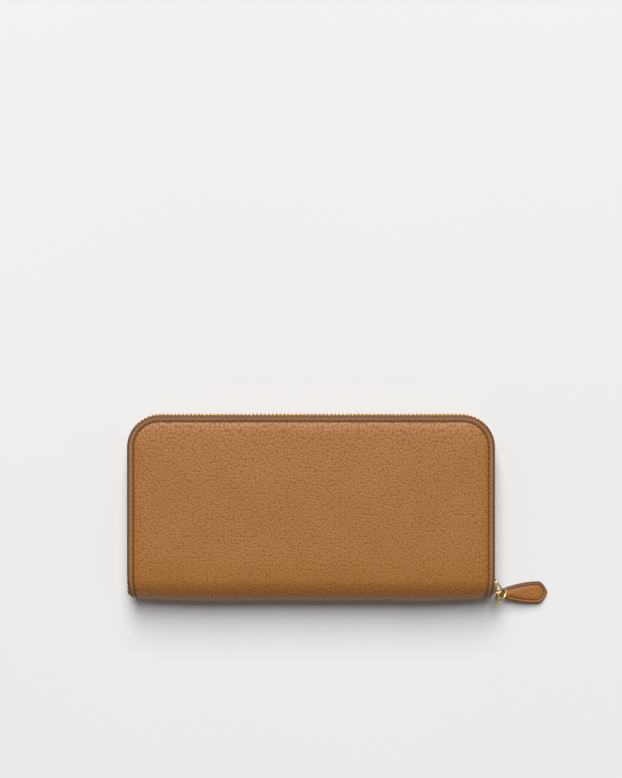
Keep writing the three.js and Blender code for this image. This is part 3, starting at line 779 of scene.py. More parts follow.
def cover_y(s):
    """Y of the zip line, which runs straight on beside the spine's round."""
    return SPINE_Y + cover_edge(s)[0][..., 1]


def zip_point(s, inset, z):
    """A point at the given inset from the flat outline of the covers, at height z."""
    place, normal = cover_edge(s)
    wide = np.where(place[..., 1] < TAPER_START, HALF * np.sign(place[..., 0]), place[..., 0])
    x = wide - normal[..., 0] * inset
    y = SPINE_Y + place[..., 1] - normal[..., 1] * inset
    return np.stack(np.broadcast_arrays(x, y, z), -1)


def mirrored(shape, side):
    """The back half is drawn; the front half is its mirror image in the middle plane."""
    points, faces = shape
    return (points * [1, 1, -1] + [0, 0, THICK] if side > 0 else points), faces


FIXED_END = node_box("right_front_teeth_end")[1][1]
MOVING_END = node_box("front_zip_teeth")[0][1]
CHAIN_END = TEETH_LOW[1]
TAPE_THICK = 0.42
INSIDE_ROUND = 9.9  # radius of the hollow inside the bent border
CORD_Z = 10.05  # how high a tape's corded edge reaches
TAPE_LOW = 2.75  # where a tape comes out from under the cover
TAPE_FOOT = -45.6  # Y at which the tapes end beside the spine


def tape_profile(low, high):
    """(inset, z) round a tape: it leaves the cover under the band, bows outwards and ends in a corded edge.

    low holds the tape's lower edge at each place along it, so the profile has one row for each."""
    t = np.linspace(0, 1, 10)[None]
    z = low[:, None] + (high - low[:, None]) * t
    part = (z - TAPE_LOW) / (CORD_Z - TAPE_LOW)
    middle = 0.95 - 0.58 * smooth(part / 0.5)
    thick = TAPE_THICK / 2 + 0.2 * smooth((part - 0.9) / 0.1)
    insets = np.concatenate([middle - thick, (middle + thick)[:, ::-1]], axis=1)
    return insets, np.concatenate([z, z[:, ::-1]], axis=1)


def under_cover(s, low):
    """The tape's lower edge: at low on the flat, and inside the cover's round beside the spine."""
    beyond = np.minimum(cover_y(s) - SPINE_Y, 0)
    return np.maximum(low, MIDDLE - np.sqrt(np.maximum(INSIDE_ROUND**2 - beyond**2, 0.01)))


def tape_piece(name, s, low, high, side, body, stands_for, setback=0.0):
    """A stretch of zip tape: tape_profile carried along the zip line, with a slow ripple."""
    insets, z = tape_profile(under_cover(s, low), high)
    ripple = 0.07 * np.sin(s / 6.1)[:, None] + 0.05 * np.sin(s / 2.7 + 0.8)[:, None]
    free = np.sin(np.pi * np.clip((z - TAPE_LOW) / (CORD_Z - TAPE_LOW), 0, 1))
    rings = zip_point(s[:, None], insets + setback + ripple * free, z)
    cloth = with_ends(np.stack(np.broadcast_arrays(s[:, None], z, insets), -1))
    piece(name, mirrored(swept(rings), side), TAPE, body, stands_for, attributes={"cloth": cloth})


def tooth_shape(reach, cord):
    """One tooth, y outwards and z towards the other row: legs round the cord, a waist and a head."""
    levels = (  # z, half width along the chain, outward side, inward side
        (cord - 0.25, 0.42, 0.65, -1.2),
        (cord - 0.1, 0.60, 0.93, -1.42),
        (cord + 0.75, 0.62, 0.98, -1.45),
        (cord + 1.25, 0.45, 0.90, -1.35),
        (reach - 0.35, 0.48, 0.92, -1.30),
        (reach, 0.34, 0.66, -1.1),
    )
    turn = np.linspace(0, 2 * np.pi, 8, endpoint=False) + np.pi / 8
    cos, sin = np.cos(turn), np.sin(turn)
    square = 1 / np.maximum(np.abs(cos), np.abs(sin)) ** 0.75
    rings = [
        np.stack([half * cos * square, (out + into) / 2 + (out - into) / 2 * sin * square, np.full(8, z)], 1)
        for z, half, out, into in levels
    ]
    return swept(np.stack(rings))


def teeth_piece(name, s, side, body, stands_for):
    """A row of teeth on the zip line, one every TOOTH_PITCH; the two rows are half a pitch apart."""
    back = zip_point(s - 0.3, 0.0, 0.0) - zip_point(s + 0.3, 0.0, 0.0)
    out = np.column_stack([cover_edge(s)[1], np.zeros(len(s))])
    shape = copies(tooth_shape(MIDDLE + 0.45, CORD_Z), zip_point(s, 0.0, 0.0), back, out)
    piece(name, mirrored(shape, side), TEETH_GOLD, body, stands_for)


def tooth_places(y_end, offset):
    """Places s of the teeth, from Y = y_end on one side round to the same height on the other."""
    start = y_end - SPINE_Y - SPINE_MID
    first = math.ceil((start - offset) / TOOTH_PITCH) * TOOTH_PITCH + offset
    return np.arange(first, EDGE_RUN - start, TOOTH_PITCH)


for label, side, body in SIDES:
    ends = CHAIN_END if side < 0 else MOVING_END
    run = zip_line(max(ends, TAPE_FOOT), 0.8)
    tape_piece(f"{label}_tape", run, TAPE_LOW, CORD_Z, side, body, [f"{label}_zip_tape"])
    places = tooth_places(ends + 0.5, 0.0 if side < 0 else TOOTH_PITCH / 2)
    teeth_piece(f"{label}_teeth", places, side, body, [f"{label}_zip_teeth"])


def side_run(sign, low_y, high_y, step):
    """Places s along one straight side between two Y."""
    low, high = (y - SPINE_Y - SPINE_MID for y in (low_y, high_y))
    s = np.linspace(low, high, max(int((high - low) / step), 2))
    return s if sign > 0 else (EDGE_RUN - s)[::-1]


for label, sign in (("left", -1), ("right", 1)):
    run = side_run(sign, CHAIN_END + 0.3, FIXED_END, 0.8)
    tape_piece(
        f"{label}_sewn_tape_end", run, 7.4, CORD_Z, 1, "back_half", [f"{label}_front_tape_end"], setback=0.1
    )
    run = side_run(sign, TAPE_FOOT, MOVING_END, 0.8)
    tape_piece(f"{label}_tape_corner", run, TAPE_LOW, 8.2, 1, bending(1), [])
    every = tooth_places(CHAIN_END + 0.5, TOOTH_PITCH / 2)
    place = cover_edge(every)[0]
    chosen = every[(SPINE_Y + place[:, 1] < FIXED_END - 0.35) & (np.sign(place[:, 0]) == sign)]
    teeth_piece(f"{label}_sewn_teeth", chosen, 1, "back_half", [f"{label}_front_teeth_end"])


def rounded_block(low, high, bevel):
    """A block with rounded rims, between two corners."""
    corners = rounded_outline(low[0], high[0], low[1], high[1], bevel)
    return plate(corners, low[2], high[2], bevel)


def rounded_outline(x0, x1, y0, y1, radius, steps=4):
    """A rectangle with round corners, counterclockwise."""
    turn = np.linspace(0, np.pi / 2, steps + 1)
    corners = ((x1, y1, 0), (x0, y1, 1), (x0, y0, 2), (x1, y0, 3))
    points = []
    for x, y, quarter in corners:
        cx = x - radius if x == x1 else x + radius
        cy = y - radius if y == y1 else y + radius
        angle = turn + quarter * np.pi / 2
        points.append(np.stack([cx + radius * np.cos(angle), cy + radius * np.sin(angle)], 1))
    return np.concatenate(points)


for stop in ("top_stop_back", "top_stop_front", "bottom_stop"):
    piece(f"{stop}_clamp", rounded_block(*node_box(stop), 0.2), TEETH_GOLD, "back_half", [stop])


# ---------------------------------------------------------------- the slider
SLIDER_LOW, SLIDER_HIGH = node_box("slider_body")


def curve(points, steps, closed=False):
    """A smooth curve through points (Catmull-Rom): steps new points in each span."""
    p = np.asarray(points, float)
    if closed:
        p = np.concatenate([p[-1:], p, p[:2]])
    else:
        p = np.concatenate([2 * p[:1] - p[1:2], p, 2 * p[-1:] - p[-2:-1]])
    t = np.linspace(0, 1, steps, endpoint=False)[None, :, None]
    a, b, c, d = (p[i : len(p) - 3 + i, None] for i in range(4))
    out = 0.5 * (2 * b + (c - a) * t + (2 * a - 5 * b + 4 * c - d) * t**2 + (3 * b - a - 3 * c + d) * t**3)
    out = out.reshape(-1, p.shape[1])
    return out if closed else np.concatenate([out, p[-2:-1]])


def slider_outline():
    """(z, y) of a plate: broad round shoulders where the chain opens, drawn in to a round nose."""
    top, bottom = SLIDER_HIGH[1], SLIDER_LOW[1]
    right = [(0.0, top), (1.9, top - 0.12), (3.1, top - 0.75), (3.52, top - 1.9), (3.5, top - 3.8)]
    right += [(3.1, bottom + 1.9), (2.2, bottom + 0.55), (0.9, bottom + 0.05)]
    left = [(-z, y) for z, y in reversed(right[1:])]
    return curve(np.array(right + [(0.0, bottom)] + left), 5, closed=True)[::-1] + [MIDDLE, 0]


def across_x(outline, low, high, bevel):
    """A plate with an outline in (z, y), between x = low and x = high."""
    points, faces = plate(outline, low, high, bevel)
    return points[:, ::-1], faces


def slider():
    """Two plates with flanges that close round the teeth, and a flat bridge arching over the outer plate."""
    shapes = [across_x(slider_outline(), 99.15, 99.92, 0.26), across_x(slider_outline(), 95.3, 96.2, 0.28)]
    for sign in (-1, 1):
        for low, high in ((98.35, 99.35), (96.0, 96.95)):
            y0, y1 = SLIDER_LOW[1] + 2.1, SLIDER_HIGH[1] - 0.8
            z = sorted((MIDDLE + sign * 2.78, MIDDLE + sign * 3.5))
            shapes.append(across_x(rounded_outline(*z, y0, y1, 0.3), low, high, 0.12))
    spine = curve(
        [(99.7, -39.2), (100.3, -40.1), (101.15, -41.35), (102.2, -42.75), (102.7, -43.9), (102.4, -44.95),
         (101.5, -45.62), (100.5, -45.72), (99.6, -45.72)], 7
    )
    path = np.column_stack([spine, np.full(len(spine), MIDDLE)])
    t = np.linspace(0, 1, len(spine))
    across = 1.0 - 0.12 * np.sin(np.pi * t)
    thick = 0.4 + 0.08 * np.exp(-(((t - 0.22) / 0.22) ** 2))
    ahead = unit(np.gradient(path, axis=0))
    normal = np.stack([ahead[:, 1], -ahead[:, 0], ahead[:, 2]], 1)
    turn = np.linspace(0, 2 * np.pi, 16, endpoint=False)
    cos, sin = np.cos(turn), np.sin(turn)
    square = np.maximum(np.abs(cos), np.abs(sin)) ** -0.55
    rings = (
        path[:, None]
        + (across[:, None] * (cos * square)[None])[..., None] * np.array([0, 0, 1.0])
        + (thick[:, None] * (sin * square)[None])[..., None] * normal[:, None]
    )
    shapes.append(swept(rings))
    return together(*shapes)


piece("zip_slider_cast", slider(), GOLD, "zip_slider", ["slider_body"])

# ---------------------------------------------------------------- the link, the ring and the tab
BAR = joint_place("link_swing")
LINK_LONG = unit([-0.08, -0.99, -0.1])
LINK_LEAN = np.array([-0.225, 0.0, 0.974])
LINK_ACROSS = unit(LINK_LEAN - LINK_LEAN @ LINK_LONG * LINK_LONG)
LINK_LENGTH, LINK_HALF, LINK_WIRE = 8.3, 2.05, 0.39
RING_RADIUS, RING_WIRE, COIL = 3.9, 0.27, 0.24
RING_U = np.array([0.6, 0.8, 0.0])
RING_V = unit([-0.26, 0.195, -0.9455])
RING_AXIS = np.cross(RING_U, RING_V)
RING_CENTRE = BAR + 5.1 * LINK_LONG - LINK_HALF * LINK_ACROSS + 2.35 * RING_U


def link_path():
    """A racetrack: two half circles of radius LINK_HALF joined by straight wires, from the bar downwards."""
    turn = np.linspace(0, 2 * np.pi, 72, endpoint=False) + np.pi / 72
    along = LINK_HALF + LINK_HALF * np.cos(turn) + np.where(np.cos(turn) > 0, LINK_LENGTH - 2 * LINK_HALF, 0)
    across = LINK_HALF * np.sin(turn)
    return BAR + along[:, None] * LINK_LONG + across[:, None] * LINK_ACROSS


link = tube(link_path(), LINK_WIRE, closed=True, around=16, up=np.cross(LINK_LONG, LINK_ACROSS))
piece("oval_link", link, GOLD, "puller_link", ["puller_link"])


def ring_path():
    """A split ring: nearly two turns of wire, stepping sideways before the first turn closes."""
    full = 2 * np.pi
    turn = np.linspace(0, 2 * full - 0.66, 190)
    step = COIL * (2 * smooth((turn - full + 0.62) / 0.5) - 1)
    swing = turn + math.radians(200)
    circle = np.cos(swing)[:, None] * RING_U + np.sin(swing)[:, None] * RING_V
    return RING_CENTRE + RING_RADIUS * circle + step[:, None] * RING_AXIS


coils = tube(ring_path(), RING_WIRE, around=14, up=RING_AXIS)
piece("split_ring_coils", coils, GOLD, "split_ring", ["split_ring"])

LOOP = joint_place("tab_swing")
SLOPE = 0.188  # radians by which the tab hangs down towards the table
TAB_A = np.array([math.cos(SLOPE), 0.0, -math.sin(SLOPE)])
TAB_B = np.array([0.0, 1.0, 0.0])
TAB_C = np.cross(TAB_A, TAB_B)
TAB_TIP, TAB_WIDE, TAB_WIDEST = 28.0, 5.95, 22.4
TAB_GROOVE = 1.75


def tab_outline(count):
    """A drop from its shoulder to the tip and back: three quadratic bends on each side."""

    def bend(a, b, c, n):
        t = np.linspace(0, 1, n, endpoint=False)[:, None]
        return (1 - t) ** 2 * np.array(a) + 2 * t * (1 - t) * np.array(b) + t**2 * np.array(c)

    first = bend((1.2, -1.75), (2.2, -2.5), (3.2, -2.75), count // 6)
    long = bend((3.2, -2.75), (13, -TAB_WIDE), (TAB_WIDEST, -TAB_WIDE), count)
    end = bend((TAB_WIDEST, -TAB_WIDE), (TAB_TIP - 2.6, -TAB_WIDE), (TAB_TIP, 0), count)
    lower = np.concatenate([first, long, end, [[TAB_TIP, 0]]])
    upper = lower[-2::-1] * [1, -1]
    return np.concatenate([lower, upper])


def tab_place(a, b, c):
    """Tab lengths, widths and thicknesses to the wallet's place; the tab's tip is curled down a little."""
    c = c - 0.25 * np.maximum((a - 16) / 12, 0) ** 2
    return LOOP + a[..., None] * TAB_A + b[..., None] * TAB_B + c[..., None] * TAB_C


# (inset, height over the middle): from the painted edge over the band and the groove to the centre
TAB_RINGS = (
    (0.0, 0.0), (0.02, 0.35), (0.12, 0.62), (0.34, 0.82), (0.65, 0.90), (1.05, 0.92), (1.4, 0.86),
    (1.6, 0.70), (TAB_GROOVE, 0.52), (1.9, 0.62), (2.1, 0.82), (2.45, 0.99), (3.0, 1.1), (3.8, 1.17),
    (4.6, 1.2), (5.4, 1.2),
)


def tab_rings(flip):
    """Rings of the tab's face: the outline drawn in towards its middle line by each inset in TAB_RINGS."""
    edge = tab_outline(26)
    middle = np.stack([np.clip(edge[:, 0], 5.0, 21.5), edge[:, 1] * 0], 1)
    toward = middle - edge
    reach = np.linalg.norm(toward, axis=1)
    ahead = np.roll(edge, -1, axis=0) - np.roll(edge, 1, axis=0)
    inward = unit(np.stack([-ahead[:, 1], ahead[:, 0]], 1))
    square = np.clip(np.sum(unit(toward) * inward, axis=1), 0.55, 1)
    rings = []
    for inset, height in TAB_RINGS:
        part = np.minimum(inset / square / np.maximum(reach, 1e-6), 0.995)
        place = edge + toward * part[:, None]
        bulk = smooth((place[:, 0] - 1.0) / 4.0)
        level = 0.25 + (height - 0.25) * (0.55 + 0.45 * bulk) if height > 0.3 else np.full(len(edge), height)
        rings.append((place, flip * level, np.full(len(edge), inset)))
    return rings


def pull_tab():
    """Two faces of tab_rings, closed along their middle lines, back to back."""
    rings = tab_rings(1)[::-1] + tab_rings(-1)[1:]
    place, level, inset = (np.stack(values) for values in zip(*rings))
    around = place.shape[1]
    points = tab_place(place[..., 0], place[..., 1], level).reshape(-1, 3)
    faces = grid_faces(len(rings), around, close_cols=True)
    last = (len(rings) - 1) * around
    strip = np.arange(around // 2)
    top = np.stack([strip, strip + 1, around - 2 - strip, around - 1 - strip], 1)
    return (points, [faces, top, (top + last)[:, ::-1]]), place.reshape(-1, 2), inset.ravel()


tab_shape, tab_plan, tab_inset = pull_tab()
tab_grain = np.column_stack([tab_plan, tab_shape[0][:, 2]])
# painted shade in the tab's stitched groove
tab_groove_shade = 0.95 * np.exp(-(((tab_inset - TAB_GROOVE) / 0.3) ** 2))


def tab_hide(name, light, dark, paint):
    """Tab leather: painted edge, pressed band and pebbled centre in one, told apart by the inset; its creases
    and groove are painted darker as shade.
    """
    made, tree = material(name, specular=0.45)
    where = attribute(tree, "grain", vector=True)
    inset = attribute(tree, "inset")
    grain = use(tree, GRAIN, where, Cells=0.75, Warp=1.2)
    inside = ramp(tree, inset, TAB_GROOVE - 0.1, TAB_GROOVE + 0.2)
    # painted shade in the creases of the pebbled centre
    crease = maths(tree, "MULTIPLY", grain.outputs["Crease"], maths(tree, "MULTIPLY", inside, 0.4))
    colour = mixed(tree, crease, dyed(tree, where, light, dark), tuple(c * 0.6 for c in dark))
    painted = ramp(tree, inset, 0.55, 0.9, 1.0, 0.0)
    colour = mixed(tree, painted, colour, paint)
    # painted shade in the groove
    colour = mixed(tree, attribute(tree, "painted_shade"), colour, (0.04, 0.016, 0.006))
    relief = maths(tree, "ADD", maths(tree, "MULTIPLY", inside, 0.8), 0.2)
    height = maths(tree, "MULTIPLY", grain.outputs["Height"], relief)
    return dress(made, colour, height, 0.13, (painted, 0.0, 1.0, 0.48, 0.34))


TAB_HIDE = tab_hide("tan tab leather", (0.420, 0.165, 0.036), (0.340, 0.126, 0.025), (0.130, 0.048, 0.020))
piece(
    "pull_tab_drop", tab_shape, TAB_HIDE, "pull_tab", ["pull_tab_leather"],
    attributes={"grain": tab_grain, "inset": tab_inset, "painted_shade": tab_groove_shade},
)


def tab_loop():
    """The strap round the ring: out of the tab's upper face, round a circle of radius 1.5 and back below.

    Its section is a superellipse that widens towards the tab. Each point's inset comes with it."""
    forward = np.array([0.8, -0.6, 0.0])
    up = np.array([0.0, 0.0, 1.0])
    angle = np.radians([62, 85, 110, 140, 165, 180, 195, 220, 250, 275, 298])
    circle = LOOP + 1.5 * (np.cos(angle)[:, None] * forward + np.sin(angle)[:, None] * up)
    flat = np.array([[6.2, 0.0, 0.62], [4.2, 0.0, 0.72], [2.6, 0.0, 1.05]])
    top = tab_place(*flat.T)
    bottom = tab_place(*(flat[::-1] * [1, 1, -1]).T)
    path = curve(np.concatenate([top, circle, bottom]), 5)
    flat_cross = np.tile(TAB_B, (3, 1))
    crosses = np.concatenate([flat_cross, np.tile(RING_U, (len(angle), 1)), flat_cross])
    cross = unit(curve(crosses, 5))
    widths = np.concatenate([[2.5, 2.0, 1.35], np.full(len(angle), 1.25), [1.35, 2.0, 2.5]])
    width = curve(widths[:, None], 5)
    normal = unit(np.cross(cross, np.gradient(path, axis=0)))
    turn = np.linspace(0, 2 * np.pi, 20, endpoint=False)
    cos, sin = np.cos(turn), np.sin(turn)
    wide = np.sign(cos) * np.abs(cos) ** 0.35
    deep = np.sign(sin) * np.abs(sin) ** 0.55
    rings = path[:, None] + (width * wide)[..., None] * cross[:, None] + 0.3 * deep[:, None] * normal[:, None]
    inset = np.broadcast_to(np.minimum((1 - np.abs(wide)) * 2.0 + 0.2, 1.5), rings.shape[:2]).ravel()
    return swept(rings), np.append(inset, [0.5, 0.5])


loop_shape, loop_inset = tab_loop()
piece(
    "pull_tab_loop", loop_shape, TAB_HIDE, "pull_tab",
    attributes={"grain": loop_shape[0], "inset": loop_inset, "painted_shade": loop_inset * 0},
)


def tab_stitches():
    """Stitches in the tab's groove on both faces, one every 2.2 mm."""
    groove = [inset for inset, _ in TAB_RINGS].index(TAB_GROOVE)
    edge, level, _ = tab_rings(1)[groove]
    run = length_along(edge)
    where = np.arange(3.2, run[-1] - 3.2, 2.2)
    shapes = []
    for flip in (1, -1):
        def at(s, lift):
            a, b = (np.interp(s, run, edge[:, k]) for k in (0, 1))
            c = np.interp(s, run, np.broadcast_to(level, len(edge)))
            return tab_place(a, b, flip * (c + lift))

        along = at(where + 0.3, 0.16) - at(where - 0.3, 0.16)
        out = at(where, 0.5) - at(where, 0.0)
        shapes.append(copies(stitch_shape(1.8, 0.21), at(where, 0.16), along, out))
    return together(*shapes)


piece("pull_tab_stitching", tab_stitches(), THREAD, "pull_tab")


# ---------------------------------------------------------------- inside: linings, card slots, gussets
def strip_grid(half, low, high, corner, step):
    """(x, y) grid over an upright plate with its two upper corners rounded."""
    straight = np.arange(low, high - corner, step)
    angle = np.linspace(0, np.pi / 2, 9)
    y = np.concatenate([straight, high - corner + corner * np.sin(angle)])
    side = np.concatenate([np.full(len(straight), half), half - corner + corner * np.cos(angle)])
    across = np.linspace(-1, 1, int(2 * half / step) + 1)
    return side[:, None] * across[None], np.broadcast_to(y[:, None], (len(y), len(across)))


def stitch_line(path, out):
    """Stitches along an open polyline, one every 2.9 mm; out is the direction out of the leather."""
    path = np.asarray(path, float)
    run = length_along(path)
    where = np.arange(2.9 / 2, run[-1], 2.9)

    def at(s):
        return np.stack([np.interp(s, run, path[:, k]) for k in range(3)], 1)

    return copies(stitch_shape(2.35, 0.16), at(where), at(where + 0.2) - at(where - 0.2), out)


def sag(x, y):
    """A slack sheet: two slow waves."""
    return np.sin(x / 23.0 + 0.7) * np.sin(y / 17.0) + 0.5 * np.sin(x / 11.0 - y / 19.0)


def card_slot(label, side, body, number):
    """A card slot: a strip with a folded, stitched hem along its upper edge."""
    low, high = node_box(f"back_card_slot_{number}")
    x, y = strip_grid(high[0], low[1], high[1], 4.0, 1.6)
    under = high[1] - y
    hem = 0.16 * smooth((3.6 - under) / 0.4) * smooth(under / 0.3) + 0.02 * sag(x, y)
    crease = 0.1 * np.exp(-((x / 0.5) ** 2))
    shape = slab(np.stack([x, y, high[2] + hem - crease], -1), np.stack([x, y, np.full_like(x, low[2])], -1))
    name = f"{label}_card_slot_{number}"
    strip = piece(f"{name}_strip", mirrored(shape, side), INNER_HIDE, body, [name])
    line = [[end * (high[0] - 5), high[1] - 2.6, high[2] + 0.2] for end in (-1, 1)]
    thread = mirrored(stitch_line(line, (0, 0, 1)), side)
    thread = piece(f"{name}_stitching", thread, THREAD, body)


def lining_height(inset):
    """The lining swells over the padding and is pinched where it is sewn."""
    return 0.25 * smooth((inset - 2.0) / 6.0)


def spine_wrap(x, q, radius_gap, side):
    """Like folded, for a sheet radius_gap inside the outer face, without the shoulder."""
    x, q, gap = np.broadcast_arrays(x, q, radius_gap)
    angle = np.clip(-q / ROUND, 0, np.pi / 2)
    y = SPINE_Y + np.maximum(q, 0) - (ROUND - gap) * np.sin(angle)
    z = MIDDLE + (ROUND - gap) * np.cos(angle)
    return np.stack([x, y, z if side > 0 else THICK - z], axis=-1)


def lining(label, side, stands_for):
    """The inner leather: it lies under the card slots and runs on round the inside of the spine."""
    rim = 1.3
    x, q = panel_grid(rim, SPINE_MID, 16, 1.6, 0.6, 2.2)
    x = x * (1 - 0.011 * smooth(-q / 6))
    inset = edge_distance(x, q)
    flat = smooth((q + 9) / 9)
    deep = 3.22 * flat + (1 - flat) * (0.06 - underside(q, inset) + shoulder(q))
    thick = 0.38
    outer = spine_wrap(x, q, deep, side)
    inner = spine_wrap(x, q, deep + thick - 0.05 * lining_height(inset), side)
    name = f"{label}_lining_leather"
    made = piece(name, slab(inner, outer), INNER_HIDE, bending(side), stands_for)
    flat = (2 * (HALF - rim) * MM, (FLAT - rim - SPINE_MID) * MM)


for label, side, body in SIDES:
    lining(label, side, [f"{label}_lining"] + (["spine_lining"] if side > 0 else []))
    for number in range(1, 5):
        card_slot(label, side, body, number)


# ---------------------------------------------------------------- the coin pocket on the spine
WALL = 0.55  # thickness of a pocket wall
HALF_LEAF = 2.8  # half the pocket's thickness


def leaf_wall(label, side):
    """A wall of the pocket: a plate with a pressed line along its sides."""
    x, y = strip_grid(LEAF_HIGH[0], LEAF_LOW[1] + 0.3, LEAF_HIGH[1], 5.0, 1.8)
    edge = LEAF_HIGH[0] - np.abs(x)
    press = 0.12 * np.exp(-(((edge - 3.0) / 0.8) ** 2)) - side * 0.1 * np.sin(x / 29.0)
    low, high = sorted((MIDDLE + side * HALF_LEAF, MIDDLE + side * (HALF_LEAF - WALL)))
    top = np.stack([x, y, high - press * (side > 0) - 0.02], -1)
    bottom = np.stack([x, y, low + press * (side < 0) + 0.02], -1)
    name = f"coin_pocket_{label}"
    wall = piece(f"{name}_leather", slab(top, bottom), INNER_HIDE, "spine", [f"{name}_wall"])


for label, side, _ in SIDES:
    leaf_wall(label, side)

seams = []
inner = HALF_LEAF - WALL - 0.04
for sign in (-1, 1):
    x = sorted((sign * (LEAF_HIGH[0] - 1.5), sign * (LEAF_HIGH[0] - 0.1)))
    seams.append(((x[0], LEAF_LOW[1] + 1, MIDDLE - inner), (x[1], LEAF_HIGH[1] - 5, MIDDLE + inner)))
foot = LEAF_HIGH[0] - 1
seams.append(((-foot, LEAF_LOW[1] + 0.3, MIDDLE - inner), (foot, LEAF_LOW[1] + 2, MIDDLE + inner)))
seams = together(*(rounded_block(low, high, 0.3) for low, high in seams))
piece("coin_pocket_seams", seams, INNER_HIDE, "spine")

threads = []
for face in (-1, 1):
    z = MIDDLE + face * (HALF_LEAF + 0.02)
    x, low, high = LEAF_HIGH[0] - 3.0, LEAF_LOW[1] + 3, LEAF_HIGH[1] - 3
    half = [(x, low), (x, high - 3), (x - 3, high)]
    path = [(a, b, z) for a, b in half] + [(-a, b, z) for a, b in half[::-1]]
    threads.append(stitch_line(path, (0, 0, face)))
piece("coin_pocket_stitching", together(*threads), THREAD, "spine")

COIN_LOW, COIN_HIGH = node_box("coin_zip_teeth_back")
COIN_PITCH = 1.6


def coin_tooth():
    """A small tooth: x along the chain, y outwards, z towards the other row."""
    levels = ((0.0, 0.42, 0.7), (0.25, 0.5, 0.95), (1.1, 0.5, 0.95), (1.4, 0.36, 0.85), (1.7, 0.3, 0.6))
    turn = np.linspace(0, 2 * np.pi, 6, endpoint=False)
    rings = [np.stack([half * np.cos(turn), out * np.sin(turn), np.full(6, z)], 1) for z, half, out in levels]
    return swept(np.stack(rings))


def coin_chain(label, side):
    """One row of the pocket's teeth and its tape, drawn at the back and mirrored for the front."""
    start = COIN_LOW[0] + 0.8 + (COIN_PITCH / 2 if side > 0 else 0)
    x = np.arange(start, -COIN_LOW[0] - 0.9, COIN_PITCH)
    origin = np.column_stack([x, np.full(len(x), 33.6), np.full(len(x), COIN_LOW[2])])
    teeth = mirrored(copies(coin_tooth(), origin, (1, 0, 0), (0, 1, 0)), side)
    piece(f"coin_{label}_teeth", teeth, TEETH_GOLD, "spine", [f"coin_zip_teeth_{label}"])
    low, high = node_box("coin_zip_tape_back")
    x = np.linspace(low[0], high[0], 120)[:, None]
    t = np.linspace(0, 1, 6)[None]
    y = high[1] + 0.04 * np.sin(x / 4.1) - 0.02 * t
    upper = np.stack(np.broadcast_arrays(x, y, low[2] + (high[2] - low[2]) * t), -1)
    points, faces = slab(upper, upper - [0, high[1] - low[1], 0])
    piece(
        f"coin_{label}_tape", mirrored((points, faces), side), TAPE, "spine",
        [f"coin_zip_tape_{label}"], attributes={"cloth": points[:, [0, 2, 1]]},
    )


for label, side, _ in SIDES:
    coin_chain(label, side)

for label in ("left", "right"):
    node_name = f"coin_zip_stop_{label}"
    clamp = rounded_block(*node_box(node_name), 0.18)
    piece(f"coin_{label}_stop", clamp, TEETH_GOLD, "spine", [node_name])

CX = joint_place("coin_puller_flip")[0]
TOP = LEAF_HIGH[1]


def flat_plate(x, half, y0, y1, radius, bevel):
    """A level plate: a rounded rectangle in X and Z about the middle plane, between two heights in Y."""
    rim = rounded_outline(CX + x[0], CX + x[1], MIDDLE - half, MIDDLE + half, radius)
    points, faces = plate(rim, TOP + y0, TOP + y1, bevel)
    return points[:, [0, 2, 1]], faces


def coin_slider():
    """Two plates on a thin post, with a round arch that holds the puller."""
    side = [(2.3, 2.4), (2.1, 4.0), (1.2, 4.85)]
    arch = [(-x, y) for x, y in side] + [(0, 4.95)] + side[::-1]
    arch = curve(np.array(arch) + [CX, TOP], 5)
    arch = np.column_stack([arch, np.full(len(arch), MIDDLE)])
    return together(
        flat_plate((-4, 4), 2.6, 1.9, 2.6, 1.6, 0.2),
        flat_plate((-4, 4), 1.9, -1.4, -0.7, 1.4, 0.2),
        flat_plate((1.5, 3.5), 0.15, -1, 2, 0.1, 0.05),
        tube(arch, 0.24, around=10, flat=2.6),
    )


piece("coin_slider_cast", coin_slider(), GOLD, "coin_slider", ["coin_slider_body"])

PULL_LOW, PULL_HIGH = node_box("coin_puller")


def coin_puller():
    """A rounded flat bar with an eye at the slider's end: outline and eye joined ring to ring."""
    outer = rounded_outline(PULL_LOW[0], PULL_HIGH[0], PULL_LOW[2], PULL_HIGH[2], 1.2, 8)
    eye = rounded_outline(CX - 4.6, CX - 0.45, MIDDLE - 1.1, MIDDLE + 1.1, 0.9, 8)
    y0, y1, bevel = PULL_LOW[1], PULL_HIGH[1], 0.15

    def level(ring, y, grow):
        middle = ring.mean(axis=0)
        moved = ring + grow * unit(ring - middle)
        return np.column_stack([moved[:, 0], np.full(len(ring), y), moved[:, 1]])

    rings = [
        level(outer, y0 + bevel, 0), level(outer, y1 - bevel, 0), level(outer, y1, -bevel),
        level(eye, y1, bevel), level(eye, y1 - bevel, 0), level(eye, y0 + bevel, 0),
        level(eye, y0, bevel), level(outer, y0, -bevel),
    ]
    return swept(np.stack(rings), closed=True)


piece("coin_puller_bar", coin_puller(), GOLD, "coin_puller", ["coin_puller"])


# ---------------------------------------------------------------- folded side gussets
GUSSET_EDGE = 85.0  # X of a gusset's sewn edges


